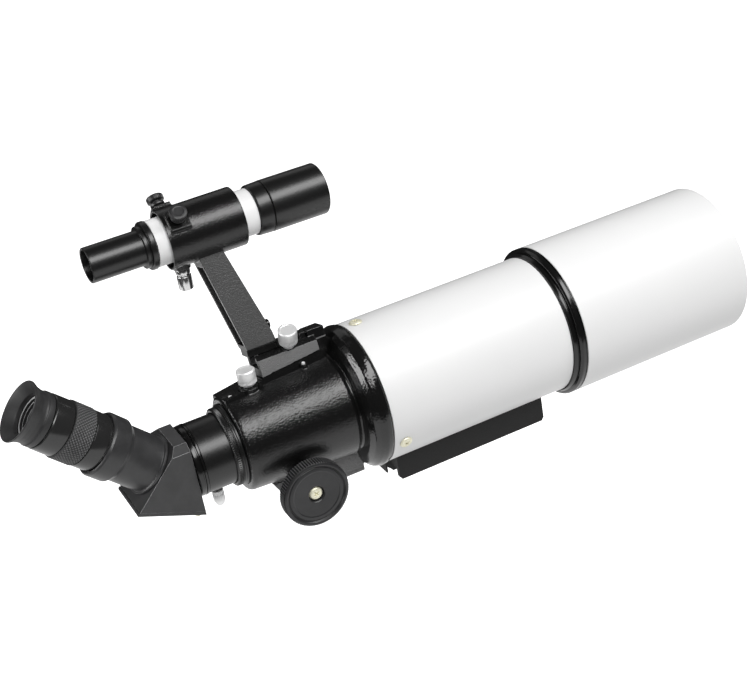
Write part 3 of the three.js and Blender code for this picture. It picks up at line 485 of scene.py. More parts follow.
def cross_recess(where, size, depth):
    """The tapered cross that a driver fits, as two wedges to cut away; X points out of the head."""
    cutters = []
    for turn in (0.0, TURN / 4):
        spun = where @ Matrix.Rotation(turn + 0.6, 4, "X")
        outline = [(-depth, -size * 0.3), (0.4, -size), (0.4, size), (-depth, size * 0.3)]
        cutters.append(extruded(outline, -size * 0.17, size * 0.17, spun))
    return cutters


def cross_screw(name, where, head, height, mat, body, stands_for, shank, length):
    """A domed head with a cross recess; X points out of the head, zero is under it."""
    dome = [(-length, 0), (-length, shank), (0, shank), (0, head)]
    for k in range(1, 7):
        angle = k / 6 * math.pi / 2
        dome.append((height * math.sin(angle), head * (1 - 0.42 * (1 - math.cos(angle)))))
    dome.append((height, 0))
    base = revolve(rounded(dome, 0.12), where, SMALL)
    recess = cross_recess(moved(where, height), head * 0.55, height * 0.75)
    mesh = carved(base, cuts=recess)
    return casting(name, mesh, mat, body, stands_for, 35)


def thumb_screw(name, where, mat, body, shank, shank_r, head_r, head, collar=0.0, dome=0.0,
                teeth=40):
    """A knurled head on a plain collar; X points out of the head, zero is under it."""
    profile = [(-shank, 0), (-shank, shank_r), (0, shank_r)]
    if collar:
        profile += [(0, head_r * 0.62), (collar, head_r * 0.62)]
    top = collar + head
    chamfer = 0.6
    profile += [
        (collar, head_r - chamfer), (collar + chamfer, head_r), (collar + 0.35 * head, head_r),
        (collar + 0.4 * head, head_r), (top - chamfer, head_r), (top, head_r - chamfer),
    ]
    if dome:
        for k in range(1, 6):
            angle = k / 5 * math.pi / 2
            profile.append((top + dome * math.sin(angle), (head_r - chamfer) * math.cos(angle)))
    else:
        profile += [(top, head_r * 0.72), (top - 0.25, head_r * 0.66), (top - 0.25, 0)]
    shape = ribs(collar + 0.5, collar + 0.38 * head, 0.35)
    return turned(f"{name}_head", profile, where, mat, body, name, teeth * 4, 0.12, shape)


# ---------------------------------------------------------------- optical tube

TUBE_R, TUBE_REAR, TUBE_FRONT = 45.0, -61.0, 66.0
SPIGOT_R = TUBE_R - 1.7
LENS_R = 41
TUBE_SCREW_ANGLES = (-5, 115, 235)
DEW_R, DEW_WALL, DEW_REAR, DEW_FRONT = 49.4, 1.7, 74.3, 198.0


def dew_shield():
    inner = DEW_R - DEW_WALL
    profile = [
        (DEW_REAR, inner), (DEW_REAR, DEW_R), (DEW_FRONT, DEW_R), (DEW_FRONT, inner + 0.2),
        (DEW_FRONT - 1.5, inner), (DEW_REAR + 0.1, inner),
    ]
    obj = turned("dew_shield_shell", profile, AXIS, [WHITE, BAFFLE], "dew_shield", "dew_shield",
                 LARGE, 0.7)
    centre = Vector((0, 0, AXIS_Z))
    limit = (inner + 0.1) * MM
    for face in obj.data.polygons:
        offset = face.center - centre
        if math.hypot(offset.y, offset.z) < limit:
            face.material_index = 1


def lens_cell():
    cell = DEW_R - DEW_WALL - 0.3
    profile = [
        (TUBE_FRONT - 14, SPIGOT_R), (TUBE_FRONT + 0.3, SPIGOT_R),
        (TUBE_FRONT + 0.3, TUBE_R + 1.0), (TUBE_FRONT + 1.6, TUBE_R + 1.6),
        (TUBE_FRONT + 2.4, TUBE_R + 2.0), (TUBE_FRONT + 2.6, TUBE_R + 1.4),
        (TUBE_FRONT + 3.2, TUBE_R + 1.4), (TUBE_FRONT + 3.4, TUBE_R + 3.4),
        (TUBE_FRONT + 4.6, DEW_R), (DEW_REAR - 1.6, DEW_R), (DEW_REAR - 1.4, DEW_R - 0.5),
        (DEW_REAR - 0.9, DEW_R - 0.5), (DEW_REAR - 0.7, DEW_R), (DEW_REAR - 0.3, DEW_R),
        (DEW_REAR - 0.3, cell), (TUBE_FRONT + 32, cell), (TUBE_FRONT + 32, 41.3),
        (TUBE_FRONT + 12, 41.3), (TUBE_FRONT + 12, 39.5), (TUBE_FRONT - 14, 39.5),
    ]
    turned("lens_cell_ring", profile, AXIS, GLOSS, "tube", "lens_cell", LARGE, 0.3)


def lens(name, node, where, x0, x1, bulge0, bulge1, rim, body):
    """A lens between two stations, each face a parabola; a face with a negative bulge is hollow."""
    steps = 14
    profile = []
    for i in range(steps + 1):
        r = rim * i / steps
        profile.append((x0 - bulge0 * (1 - (r / rim) ** 2), r))
    for i in range(steps, -1, -1):
        r = rim * i / steps
        profile.append((x1 + bulge1 * (1 - (r / rim) ** 2), r))
    piece(name, revolve(profile, where, MEDIUM), GLASS, body, node, 50)


def tube_shell(name, node, where, x0, x1, outer, inner, mat, body, segments=MEDIUM, soft=0.2):
    profile = [(x0, inner), (x0, outer), (x1, outer), (x1, inner)]
    return turned(name, profile, where, mat, body, node, segments, soft)


def radial(degrees):
    a = math.radians(degrees)
    return (0, -math.sin(a), math.cos(a))


def optical_tube():
    dew_shield()
    lens_cell()
    seat = TUBE_FRONT + 12.3
    lens("objective_rear_lens", "flint_lens", AXIS, seat, seat + 6.5, 0.4, -2.4, LENS_R, "tube")
    lens("objective_front_lens", "crown_lens", AXIS, seat + 7.7, seat + 12.2, 2.2, 2.4, LENS_R,
         "tube")
    tube_shell("retaining_ring", "lens_retaining_ring", AXIS, seat + 12.5, seat + 16.5, LENS_R,
               LENS_R - 2, GLOSS, "tube", FINE)
    tube_shell("tube_shell", "main_tube", AXIS, TUBE_REAR, TUBE_FRONT, TUBE_R, 43.6, WHITE, "tube",
               LARGE, 0.3)
    tube_shell("baffle_ring", "light_baffle", AXIS, 10, 12, 43.3, 31, BAFFLE, "tube", FINE)
    for i, degrees in enumerate(TUBE_SCREW_ANGLES):
        out = radial(degrees)
        x = TUBE_REAR + 7.4
        where = aimed(AXIS, out, x, out[1] * (TUBE_R + 0.2), out[2] * (TUBE_R + 0.2))
        cross_screw(f"tube_screw_head_{i + 1}", where, 4.1, 1.4, BRASS, "tube",
                    f"tube_screw_{i + 1}", 1.6, 4)


# ---------------------------------------------------------------- focuser

BARREL_REAR, BARREL_FRONT = -147.5, -77.5
BORE_R = 23.4
RACK_SLOT_HALF, RACK_SLOT_TOP = 3.6, -18
PINION_X, PINION_Z = -116.1, -28.2
LOCK_X, LOCK_SEAT = -129.2, 33.2
SHOE_REAR, SHOE_FRONT, SHOE_TOP, SHOE_HALF = -120.0, -81.0, 43.9, 10.3
RAIL_HALF, RAIL_TOP, STOP_TOP = 6.4, 46.5, 50.2
PAD_HALF, LEDGE_HALF = 10.2, 13.2
HEEL = -116.9
# The drag screws: station, lean to the right in degrees, and how far out the top is.
SET_SCREWS = ((-141.8, 0, 30.9), (-93.9, 4.5, 36.2))


def pad_height(x):
    return 30.5 + 0.1 * (x - BARREL_REAR)


def set_screw_hole(x, degrees):
    return rod(20, 40, 1.3, aimed(AXIS, radial(degrees), x))


def focuser_casting():
    profile = [
        (TUBE_REAR + 15, SPIGOT_R), (TUBE_REAR - 0.3, SPIGOT_R),
        (TUBE_REAR - 0.3, 44.6), (TUBE_REAR - 1.5, 45.6), (TUBE_REAR - 4.5, 46),
        (TUBE_REAR - 8, 44.8), (TUBE_REAR - 11, 41.6), (TUBE_REAR - 13, 37), (TUBE_REAR - 13.8, 32),
        (BARREL_FRONT + 1.2, 31.4), (BARREL_FRONT, 32.6), (BARREL_FRONT - 1.2, 33.2),
        (BARREL_REAR + 2.5, 30.2), (BARREL_REAR + 0.6, 29.4), (BARREL_REAR, 28.0),
        (BARREL_REAR, BORE_R), (-84, BORE_R), (-72, 31), (TUBE_REAR + 15, SPIGOT_R - 0.7),
    ]
    barrel = revolve(rounded(profile, 1.2), AXIS, FINE)
    housing_half = 12
    housing = extruded([(-135, -24), (-125, -43), (-72, -43.5), (-72, -28)],
                       -housing_half, housing_half, AXIS)
    shaft = aimed(AXIS, LEFT, PINION_X, 0, PINION_Z)
    bosses = rod(-19, 19, 8, shaft)
    lock_boss = rod(24, LOCK_SEAT, 6.4, aimed(AXIS, UP, LOCK_X))
    front_x, front_angle, front_top = SET_SCREWS[1]
    screw_boss = rod(28, front_top - 0.5, 2, aimed(AXIS, radial(front_angle), front_x))
    gear_half, gear_r = 5.6, 6.8
    cuts = [
        rod(BARREL_REAR - 1, -83.9, BORE_R, AXIS, FINE),
        revolve([(-84, 0), (-84, BORE_R), (-72, 31), (-70, 31), (-70, 0)], AXIS, FINE),
        block(BARREL_REAR - 1, -70, -RACK_SLOT_HALF, RACK_SLOT_HALF, -24.6, RACK_SLOT_TOP, AXIS),
        rod(-gear_half, gear_half, gear_r, shaft),
        block(PINION_X - gear_r, PINION_X + gear_r, -gear_half, gear_half, -50, PINION_Z, AXIS),
        rod(-25, 25, 3.4, shaft),
        rod(20, 40, 8.4, shaft),
        rod(20, 40, 8.4, aimed(AXIS, RIGHT, PINION_X, 0, PINION_Z)),
        rod(20, 40, 2.1, aimed(AXIS, UP, LOCK_X)),
        rod(LOCK_SEAT, 40, 6.6, aimed(AXIS, UP, LOCK_X)),
    ]
    cuts += [set_screw_hole(x, degrees) for x, degrees, _ in SET_SCREWS]
    mesh = carved(barrel, [screw_boss, housing, bosses, lock_boss], cuts, 0.48, 2)
    obj = casting("focuser_casting", mesh, CAST, "tube", "focuser_body")
    low, neck = AXIS_Z - 31 * MM, (BARREL_FRONT + 1) * MM
    side = (housing_half + 1) * MM
    finish_faces(obj, CAST_GLOSS, Vector(FORWARD), lambda p: p.x > neck, ANY_WAY)
    # Painted light: the rack housing's side faces below the barrel get a pale grey copy of the
    # paint for the light they catch.
    for facing in (RIGHT, LEFT):
        finish_faces(obj, CAST_PAINTED_LIGHT, Vector(facing), lambda p: p.z < low and abs(p.y) < side, 0.9)
    shoe_pad()


def shoe_pad():
    """The raised strip that the shoe stands on, wider behind it."""
    middle = extruded([
        (SHOE_REAR - 3, 22), (SHOE_REAR - 3, pad_height(SHOE_REAR) - 0.7),
        (SHOE_REAR - 1, pad_height(SHOE_REAR) - 0.5), (SHOE_REAR - 1, pad_height(SHOE_REAR)),
        (SHOE_FRONT + 1.5, pad_height(SHOE_FRONT)), (SHOE_FRONT + 1.5, 27),
    ], -PAD_HALF, PAD_HALF, LEANING)
    rear = BARREL_REAR + 0.5
    strip = extruded([
        (rear, 24), (rear + 0.4, pad_height(rear) - 1.6), (rear + 1.2, pad_height(rear) - 1.2),
        (SHOE_REAR - 2, pad_height(SHOE_REAR) - 0.6), (SHOE_REAR - 2, 22),
    ], -LEDGE_HALF, LEDGE_HALF, LEANING)
    cuts = [
        rod(BARREL_REAR - 1, -70, 28.6, AXIS, FINE),
        rod(LOCK_SEAT - 12, 40, 6.9, aimed(AXIS, UP, LOCK_X)),
    ]
    cuts += [set_screw_hole(x, degrees) for x, degrees, _ in SET_SCREWS]
    mesh = carved(middle, [strip], cuts)
    obj = casting("shoe_pad_casting", mesh, CAST, "tube", sharp=30)
    # Painted light: the pad's rear faces get a pale grey copy of the paint for the side lamp's
    # light.
    finish_faces(obj, CAST_PAINTED_LIGHT, BACKWARD, None, 0.6)
    eased(obj, 0.35)


def slotted(name, node, profile, mat, segments, soft, depth, shape=None):
    """A ring round the drawtube with a slot below that the rack runs through."""
    base = revolve(rounded(profile, soft), AXIS, segments, shape)
    slot = block(BARREL_REAR - 20, BARREL_REAR + 40, -RACK_SLOT_HALF, RACK_SLOT_HALF, -depth,
                 RACK_SLOT_TOP, AXIS)
    casting(name, carved(base, cuts=[slot]), mat, "tube", node, 38)


def drawtube_group():
    liner = [(BARREL_REAR + 1, 22.25), (BARREL_REAR + 1, 23.1), (BARREL_REAR + 26, 23.1),
             (BARREL_REAR + 26, 22.25)]
    slotted("liner_sleeve", "drawtube_liner", liner, BAFFLE, FINE, 0.1, 30)
    ring = [
        (BARREL_REAR - 6.4, 22.4), (BARREL_REAR - 6.4, 23.6), (BARREL_REAR - 5.6, 24.6),
        (BARREL_REAR - 3.2, 24.7), (BARREL_REAR - 3.0, 24.2), (BARREL_REAR - 2.6, 24.2),
        (BARREL_REAR - 2.4, 24.8), (BARREL_REAR - 1.6, 24.8), (BARREL_REAR - 1.4, 25.6),
        (BARREL_REAR - 0.3, 25.8), (BARREL_REAR - 0.3, 22.4),
    ]
    slotted("barrel_end_collar", "barrel_end_ring", ring, ANODISED, 4 * 110, 0.25, 24.1,
            ribs(BARREL_REAR - 5.7, BARREL_REAR - 3.1, 0.35))
    tube_shell("drawtube_shell", "drawtube", AXIS, -171.5, -42, 22, 20.4, ANODISED, "drawtube",
               FINE)
    adapter = [
        (-176.9, 16.1), (-176.9, 21.2), (-176.3, 22), (-174.3, 22.3), (-174.1, 21.5),
        (-173.3, 21.5), (-173.1, 22.4), (-171.8, 22.4), (-171.8, 20.1), (-153, 20.1), (-153, 16.1),
    ]
    turned("adapter_ring", adapter, AXIS, GLOSS, "drawtube", "eyepiece_adapter", FINE, 0.2)
    bevelled("rack", STEEL, 0.05)
    cover = extruded([(-124, -43.4), (-123, -46), (-71.5, -46.2), (-71.5, -43.8)], -11, 11, AXIS)
    # Painted light: the cover plate takes the pale grey copy of the paint for the light it catches
    # from below.
    obj = piece("pinion_plate", cover, CAST_PAINTED_LIGHT, "tube", "pinion_cover")
    eased(obj, 0.4)
    bevelled("pinion_shaft", STEEL, 0.05)


def focus_knob(side, way):
    """Knurled rim, raised lip and a shallow dish with a moulded ring."""
    face, seat, rim = 43.5, 40.0, 21
    profile = [
        (20.5, 3.05), (20.5, 7.4), (face - 9, 7.8), (face - 8.6, 20.1), (face - 8.0, rim),
        (face - 1.2, rim), (face - 0.6, 20.5), (face - 0.1, 19.4), (face - 0.2, 18.6),
        (face - 1.2, 18.0), (face - 1.4, 17.6), (face - 0.9, 17.2), (face - 0.7, 15.2),
        (face - 1.0, 14.6), (face - 0.9, 5.5), (face - 1.4, 5.0), (seat, 4.9), (seat, 3.05),
    ]
    where = aimed(AXIS, way, PINION_X, 0, PINION_Z)
    teeth = 80
    obj = turned(f"knob_{side}", profile, where, KNOB, "pinion", f"focus_knob_{side}", teeth * 4,
                 0.3, ribs(face - 8.2, face - 0.9, 1.0, rim - 1))
    # Painted highlight: the raised ribs of the rim get a lighter grey.
    highlight(obj, KNURL_PAINTED_HIGHLIGHT, where, face - 8.0, face - 1.2, rim - 0.2)
    cross_screw(f"knob_screw_head_{side}", moved(where, seat + 0.3), 4.3, 1.9, BRASS, "pinion",
                f"knob_screw_{side}", 1.2, 2.4)


def focuser():
    focuser_casting()
    drawtube_group()
    focus_knob("right", RIGHT)
    focus_knob("left", LEFT)
    thumb_screw("drawtube_lock_screw", aimed(AXIS, UP, LOCK_X, 0, LOCK_SEAT + 0.3), SILVER,
                "drawtube_lock_screw", 10, 1.8, 5.7, 9, 1.6)
    thumb_screw("adapter_thumb_screw", aimed(AXIS, DOWN, -163, 0, -25.3), SILVER,
                "adapter_thumb_screw", 8.6, 1.4, 3.6, 8.6, 0, 3.0, 18)
    for i, (x, degrees, top) in enumerate(SET_SCREWS):
        where = aimed(AXIS, radial(degrees), x)
        profile = [(24.2, 0), (24.2, 1.1), (top, 1.1), (top, 0.5), (top - 0.5, 0)]
        turned(f"drag_screw_{i + 1}", profile, where, SILVER, "tube", f"tension_screw_{i + 1}",
               SMALL, 0.15)
    for i in (1, 2):
        bevelled(f"cover_screw_{i}", STEEL, 0.15)


# ---------------------------------------------------------------- diagonal and eyepiece


def diagonal():
    body = bevelled("diagonal_body", PLASTIC, 0.55, 3)
    # Painted highlight: the bevelled edges of the body get a light grey.
    body.data.materials.append(PLASTIC_PAINTED_HIGHLIGHT)
    body.modifiers["edges"].material = 1
    bevelled("diagonal_cover", PLASTIC, 0.3, 2)
    bevelled("erecting_prism", GLASS, 0.3)
    for i in (1, 2):
        bevelled(f"diagonal_screw_{i}", BRASS, 0.15)
    tube_shell("diagonal_nose_tube", "diagonal_nose", AXIS, -177.1, -149, 15.85, 14.65, CHROME,
               "diagonal", FINE)
    bore = 16.1
    profile = [
        (10.6, 15), (10.6, 18.4), (12.2, 18.4), (12.6, 17.05), (33, 17.05), (36.2, 19.2),
        (46.3, 19.3), (47.5, 18.6), (47.8, 17.9), (46.4, bore), (18, bore), (18, 15),
    ]
    turned("diagonal_tube", profile, EYE, PLASTIC, "diagonal", "diagonal_eyepiece_tube", FINE, 0.4)
    thumb_screw("eyepiece_thumb_screw", aimed(EYE, LEFT, 41.5, 19.6), SILVER,
                "eyepiece_thumb_screw", 3.2, 1.3, 3.3, 6, 0, 1.8, 18)


def diamond_grip():
    """A sleeve of raised diamonds, cut by two crossed sets of grooves."""
    x0, x1, radius, inner, depth, edge = 58.3, 71.9, 17.6, 16.1, 0.55, 0.4
    around, rows, per = 52, 6, 8
    columns = around * per
    lines = rows * per
    bm = bmesh.new()

    def ring(x, radii):
        made = []
        for k, r in enumerate(radii):
            a = TURN * k / columns
            made.append(bm.verts.new(EYE @ Vector((x, r * math.cos(a), r * math.sin(a)))))
        return made

    def height(k, i):
        u, v = k / per, i / per
        return abs(math.sin(math.pi * (u + v)) * math.sin(math.pi * (u - v))) ** 0.6

    rings = []
    for i in range(lines + 1):
        x = x0 + edge + (x1 - x0 - 2 * edge) * i / lines
        rings.append(ring(x, [radius - depth * (1 - height(k, i)) for k in range(columns)]))
    for x, r in ((x1, radius - depth), (x1, inner), (x0, inner), (x0, radius - depth)):
        rings.append(ring(x, [r] * columns))
    for a, b in zip(rings, rings[1:] + rings[:1]):
        for k in range(columns):
            m = (k + 1) % columns
            bm.faces.new((a[k], b[k], b[m], a[m]))
    obj = piece("grip_sleeve", bm, RUBBER, "eyepiece", "eyepiece_grip", 60)
    # Painted highlight: the peaks of the diamonds get a lighter grey.
    highlight(obj, KNURL_PAINTED_HIGHLIGHT, EYE, x0 + 0.5, x1 - 0.5, radius - 0.16)


def eyepiece():
    tube_shell("eyepiece_barrel_tube", "eyepiece_barrel", EYE, 22, 47.9, 15.85, 14.6, CHROME,
               "eyepiece", FINE)
    body = [
        (48.2, 13.2), (48.2, 17.1), (57.6, 17.1), (58.0, 16.6), (58.0, 15.8), (72.2, 15.8),
        (72.2, 16.5), (72.6, 16.8), (78.0, 16.8), (83.6, 16.7), (84.3, 16.3), (84.4, 14.2),
        (90.6, 14.2), (90.6, 12), (87, 11.4), (87, 13), (60, 13.2),
    ]
    turned("eyepiece_housing", body, EYE, EYE_BLACK, "eyepiece", "eyepiece_body", FINE, 0.25)
    diamond_grip()
    lens("eyepiece_field_lens", "field_lens", EYE, 62, 66, 1.4, 1.4, 12.6, "eyepiece")
    lens("eyepiece_eye_lens", "eye_lens", EYE, 82, 84.6, 1.2, 1.2, 12.4, "eyepiece")
    stairs = [
        (91.1, 12.3), (91.1, 10.9), (89.4, 10.9), (89.4, 10.2), (87.7, 10.2), (87.7, 9.5),
        (86.2, 9.5), (86.2, 11.25), (90.7, 11.25), (90.7, 12.3),
    ]
    obj = turned("eye_stop_funnel", stairs, EYE, BAFFLE, "eyepiece", None, FINE, 0.08)
    # Painted light: the funnel's steps that face out of the eyepiece get a light grey.
    outwards = (EYE.to_3x3() @ Vector(FORWARD)).normalized()
    finish_faces(obj, PLASTIC_PAINTED_HIGHLIGHT, outwards)
    cup = [
        (84.8, 14.5), (84.8, 16.5), (88.4, 16.5), (88.8, 16.0), (89.8, 15.8), (92, 15.9),
        (95, 16.6), (97.2, 17.7), (98.4, 18.35), (99.1, 18.3), (99.2, 17.8), (97.4, 16.0),
        (93.8, 12.6), (91, 12.5), (91, 14.5),
    ]
    turned("eyecup_rubber", cup, EYE, RUBBER, "eyepiece", "eyecup", FINE, 0.6)


# ---------------------------------------------------------------- finder

SLOT_FLOOR = 38.9
CLAMP = (-98, -7, 45.9)
CLAMP_LEAN = math.radians(33)
CLAMP_OUT = (0, -math.sin(CLAMP_LEAN), math.cos(CLAMP_LEAN))
FINDER_HEIGHT = 128.4
RING_AXIS = moved(LEANING, 0, 0, FINDER_HEIGHT)
RING_R, RING_BORE = 17.9, 16.8
RING_REAR, RING_FRONT = -150.2, -103.0
# Around the ring: degrees from straight up, station along the tube, and where the tip stops.
ADJUSTERS = {"top": (30, -143.5, 15.6), "side": (-55, -141.5, 16.4)}
PLUNGER_ANGLE, PLUNGER_X, PLUNGER_R = 165, -142.5, 4.4


def around(degrees):
    a = math.radians(degrees)
    return (0, math.sin(a), math.cos(a))


def bracket():
    """Foot, channel-shaped stalk and ring, cast in one."""
    foot_rear, foot_front, base, half = -123.5, -104.6, 51.6, 8.5
    top = FINDER_HEIGHT - RING_R + 4

    def rear(z):
        return foot_rear - 0.185 * (z - base)

    def front(z):
        return foot_front - 0.24 * (z - base)

    ring = revolve(rounded([
        (RING_REAR, RING_BORE), (RING_REAR, RING_R), (RING_FRONT, RING_R), (RING_FRONT, RING_BORE),
    ], 0.6), RING_AXIS, FINE)
    stalk = extruded([
        (foot_rear, base), (foot_front, base), (front(base + 6) + 0.8, base + 6),
        (front(top), top), (rear(top), top),
    ], -half, half, LEANING)
    neck = block(HEEL, foot_front, -5.4, 5.4, SLOT_FLOOR + 4, base + 0.5, LEANING)
    ridge = block(foot_front - 1, SHOE_FRONT - 4.2, -5.2, 5.2, SLOT_FLOOR + 4, STOP_TOP - 0.1,
                  LEANING)
    shoulder = block(foot_rear, foot_front, -6.3, 6.3, RAIL_TOP + 0.4, base + 0.5, LEANING)
    dovetail = sectioned([
        (-6.9, SLOT_FLOOR + 0.3), (6.9, SLOT_FLOOR + 0.3), (5.4, SHOE_TOP), (-5.4, SHOE_TOP),
    ], HEEL, SHOE_FRONT - 5, LEANING)
    pads = []
    for degrees, x, _ in ADJUSTERS.values():
        where = aimed(RING_AXIS, around(degrees), x)
        pads.append(block(RING_BORE - 0.4, RING_R + 1.6, -6, 6, -6.5, 6.5, where))
    plunger_axis = aimed(RING_AXIS, around(PLUNGER_ANGLE), PLUNGER_X)
    pads.append(rod(RING_BORE - 0.4, RING_R + 2.2, PLUNGER_R + 1, plunger_axis))
    groove = extruded([
        (foot_rear - 20, base + 3), (foot_front - 6, base + 3), (front(top - 8) - 3, top - 8),
        (rear(top) - 20, top - 8),
    ], -half + 2.2, half - 2.2, LEANING)
    cuts = [
        rod(RING_REAR - 5, RING_FRONT + 5, RING_BORE, RING_AXIS, FINE), groove,
        rod(10, 30, 3.4, plunger_axis),
        block(CLAMP[0] - 2.4, CLAMP[0] + 9, -12, -2.1, SLOT_FLOOR + 0.9, STOP_TOP + 1, LEANING),
    ]
    for degrees, x, _ in ADJUSTERS.values():
        cuts.append(rod(10, 30, 1.9, aimed(RING_AXIS, around(degrees), x)))
    mesh = carved(ring, [stalk, neck, shoulder, ridge, dovetail] + pads, cuts, 0.42, 2)
    obj = casting("bracket_casting", mesh, CAST_FINE, "finder_bracket", "finder_bracket")

    def on_stalk(point):
        return base < (TO_LEANING @ point).z < top + 1

    def on_rear_lip(point):
        here = TO_LEANING @ point
        return base < here.z < top and here.x < rear(here.z) + 1

    # Painted light: the stalk's side faces get a lighter copy of the paint.
    finish_faces(obj, CAST_SIDE_PAINTED_LIGHT, -ACROSS, on_stalk)
    finish_faces(obj, CAST_SIDE_PAINTED_LIGHT, ACROSS, on_stalk)
    # Painted highlight: the rear lip of the stalk gets a light grey.
    finish_faces(obj, CAST_PAINTED_EDGE_HIGHLIGHT, BACKWARD, on_rear_lip, 0.7)
    # Painted light: the foot's and the ring's rear faces get a pale grey copy of the paint for the
    # side lamp's light.
    finish_faces(obj, CAST_PAINTED_LIGHT, BACKWARD, lambda p: (TO_LEANING @ p).z < base + 3)
    finish_faces(obj, CAST_PAINTED_LIGHT, BACKWARD, lambda p: (TO_LEANING @ p).x < RING_REAR + 1, 0.8)
    bolt_z = 62.0
    bolt = aimed(LEANING, FORWARD, front(bolt_z) - 0.5, -3.5, bolt_z, LEFT)
    turned("stalk_bolt_head", [(0, 0), (0, 3), (2.6, 3), (3.2, 2.2), (3.2, 0)], bolt, GLOSS,
           "finder_bracket", None, SMALL, 0.3)


def plunger():
    r = RING_R + 2.2
    where = aimed(RING_AXIS, around(PLUNGER_ANGLE), PLUNGER_X)
    waist = PLUNGER_R - 0.6
    profile = [
        (r - 5.2, 2.2), (r - 5.2, 3.1), (r + 0.3, 3.1), (r + 0.3, PLUNGER_R),
        (r + 3, PLUNGER_R), (r + 3.3, waist), (r + 4.5, waist), (r + 4.8, PLUNGER_R),
        (r + 13, PLUNGER_R), (r + 13, 2.2),
    ]
    turned("plunger_barrel", profile, where, CHROME, "finder_bracket", "plunger_housing", MEDIUM)
    pin = [(15.2, 0), (15.4, 0.9), (16.0, 1.4), (16.6, 1.8), (r + 12, 1.8), (r + 12, 0)]
    turned("plunger_rod", pin, where, CHROME, "plunger_pin", "plunger_pin", SMALL)


def adjuster_screw(name, where, shank):
    """A knurled black head over a smaller disc."""
    profile = [
        (-shank, 0), (-shank, 1.6), (0, 1.6), (0, 3.2), (0.3, 4.3), (1.5, 4.4), (1.9, 4.0),
        (2.1, 2.9), (3.0, 2.8), (3.3, 4.6), (3.6, 5.2), (6.0, 5.3), (6.5, 5.0), (6.8, 4.3),
        (6.9, 3.2), (6.7, 2.8), (6.8, 0),
    ]
    turned(f"adjuster_head_{name}", profile, where, KNOB, f"adjuster_screw_{name}",
           f"adjuster_screw_{name}", 4 * 32, 0.2, ribs(3.5, 6.1, 0.3))


def adjusters():
    head = RING_R + 3.2
    for name, (degrees, x, tip) in ADJUSTERS.items():
        out = around(degrees)
        where = aimed(RING_AXIS, out, x, out[1] * head, out[2] * head)
        adjuster_screw(name, where, head - tip)


def finder_shoe():
    """A dovetail slot between two rails whose tops slope inwards."""
    low = pad_height(SHOE_REAR) - 2
    section = sectioned([
        (-SHOE_HALF, low), (SHOE_HALF, low), (SHOE_HALF, SHOE_TOP), (RAIL_HALF, RAIL_TOP),
        (-RAIL_HALF, RAIL_TOP), (-SHOE_HALF, SHOE_TOP),
    ], SHOE_REAR, SHOE_FRONT, LEANING)
    slot = sectioned([
        (-7.6, SLOT_FLOOR), (7.6, SLOT_FLOOR), (5.9, SHOE_TOP + 1), (5.9, RAIL_TOP + 1),
        (-5.9, RAIL_TOP + 1), (-5.9, SHOE_TOP + 1),
    ], SHOE_REAR - 1, SHOE_FRONT - 4, LEANING)
    under = extruded([
        (SHOE_REAR - 1, 0), (SHOE_REAR - 1, pad_height(SHOE_REAR - 1) + 0.3),
        (SHOE_FRONT + 1, pad_height(SHOE_FRONT + 1) + 0.3), (SHOE_FRONT + 1, 0),
    ], -30, 30, LEANING)
    clamp = aimed(LEANING, CLAMP_OUT, *CLAMP)
    cuts = [slot, under, rod(-20, 10, 1.9, clamp), rod(-0.3, 12, 4.6, clamp)]
    stop = block(SHOE_FRONT - 3.7, SHOE_FRONT + 7.5, -RAIL_HALF, RAIL_HALF, SHOE_TOP - 1, STOP_TOP,
                 LEANING)
    mesh = carved(section, [stop], cuts, 0.35, 1)
    obj = casting("shoe_casting", mesh, CAST, "tube", "finder_shoe")
    # Painted light: the shoe's side and rear faces below its top get a pale grey copy of the paint.
    for facing in (-ACROSS, ACROSS, BACKWARD):
        finish_faces(obj, CAST_PAINTED_LIGHT, facing, lambda p: (TO_LEANING @ p).z < SHOE_TOP)


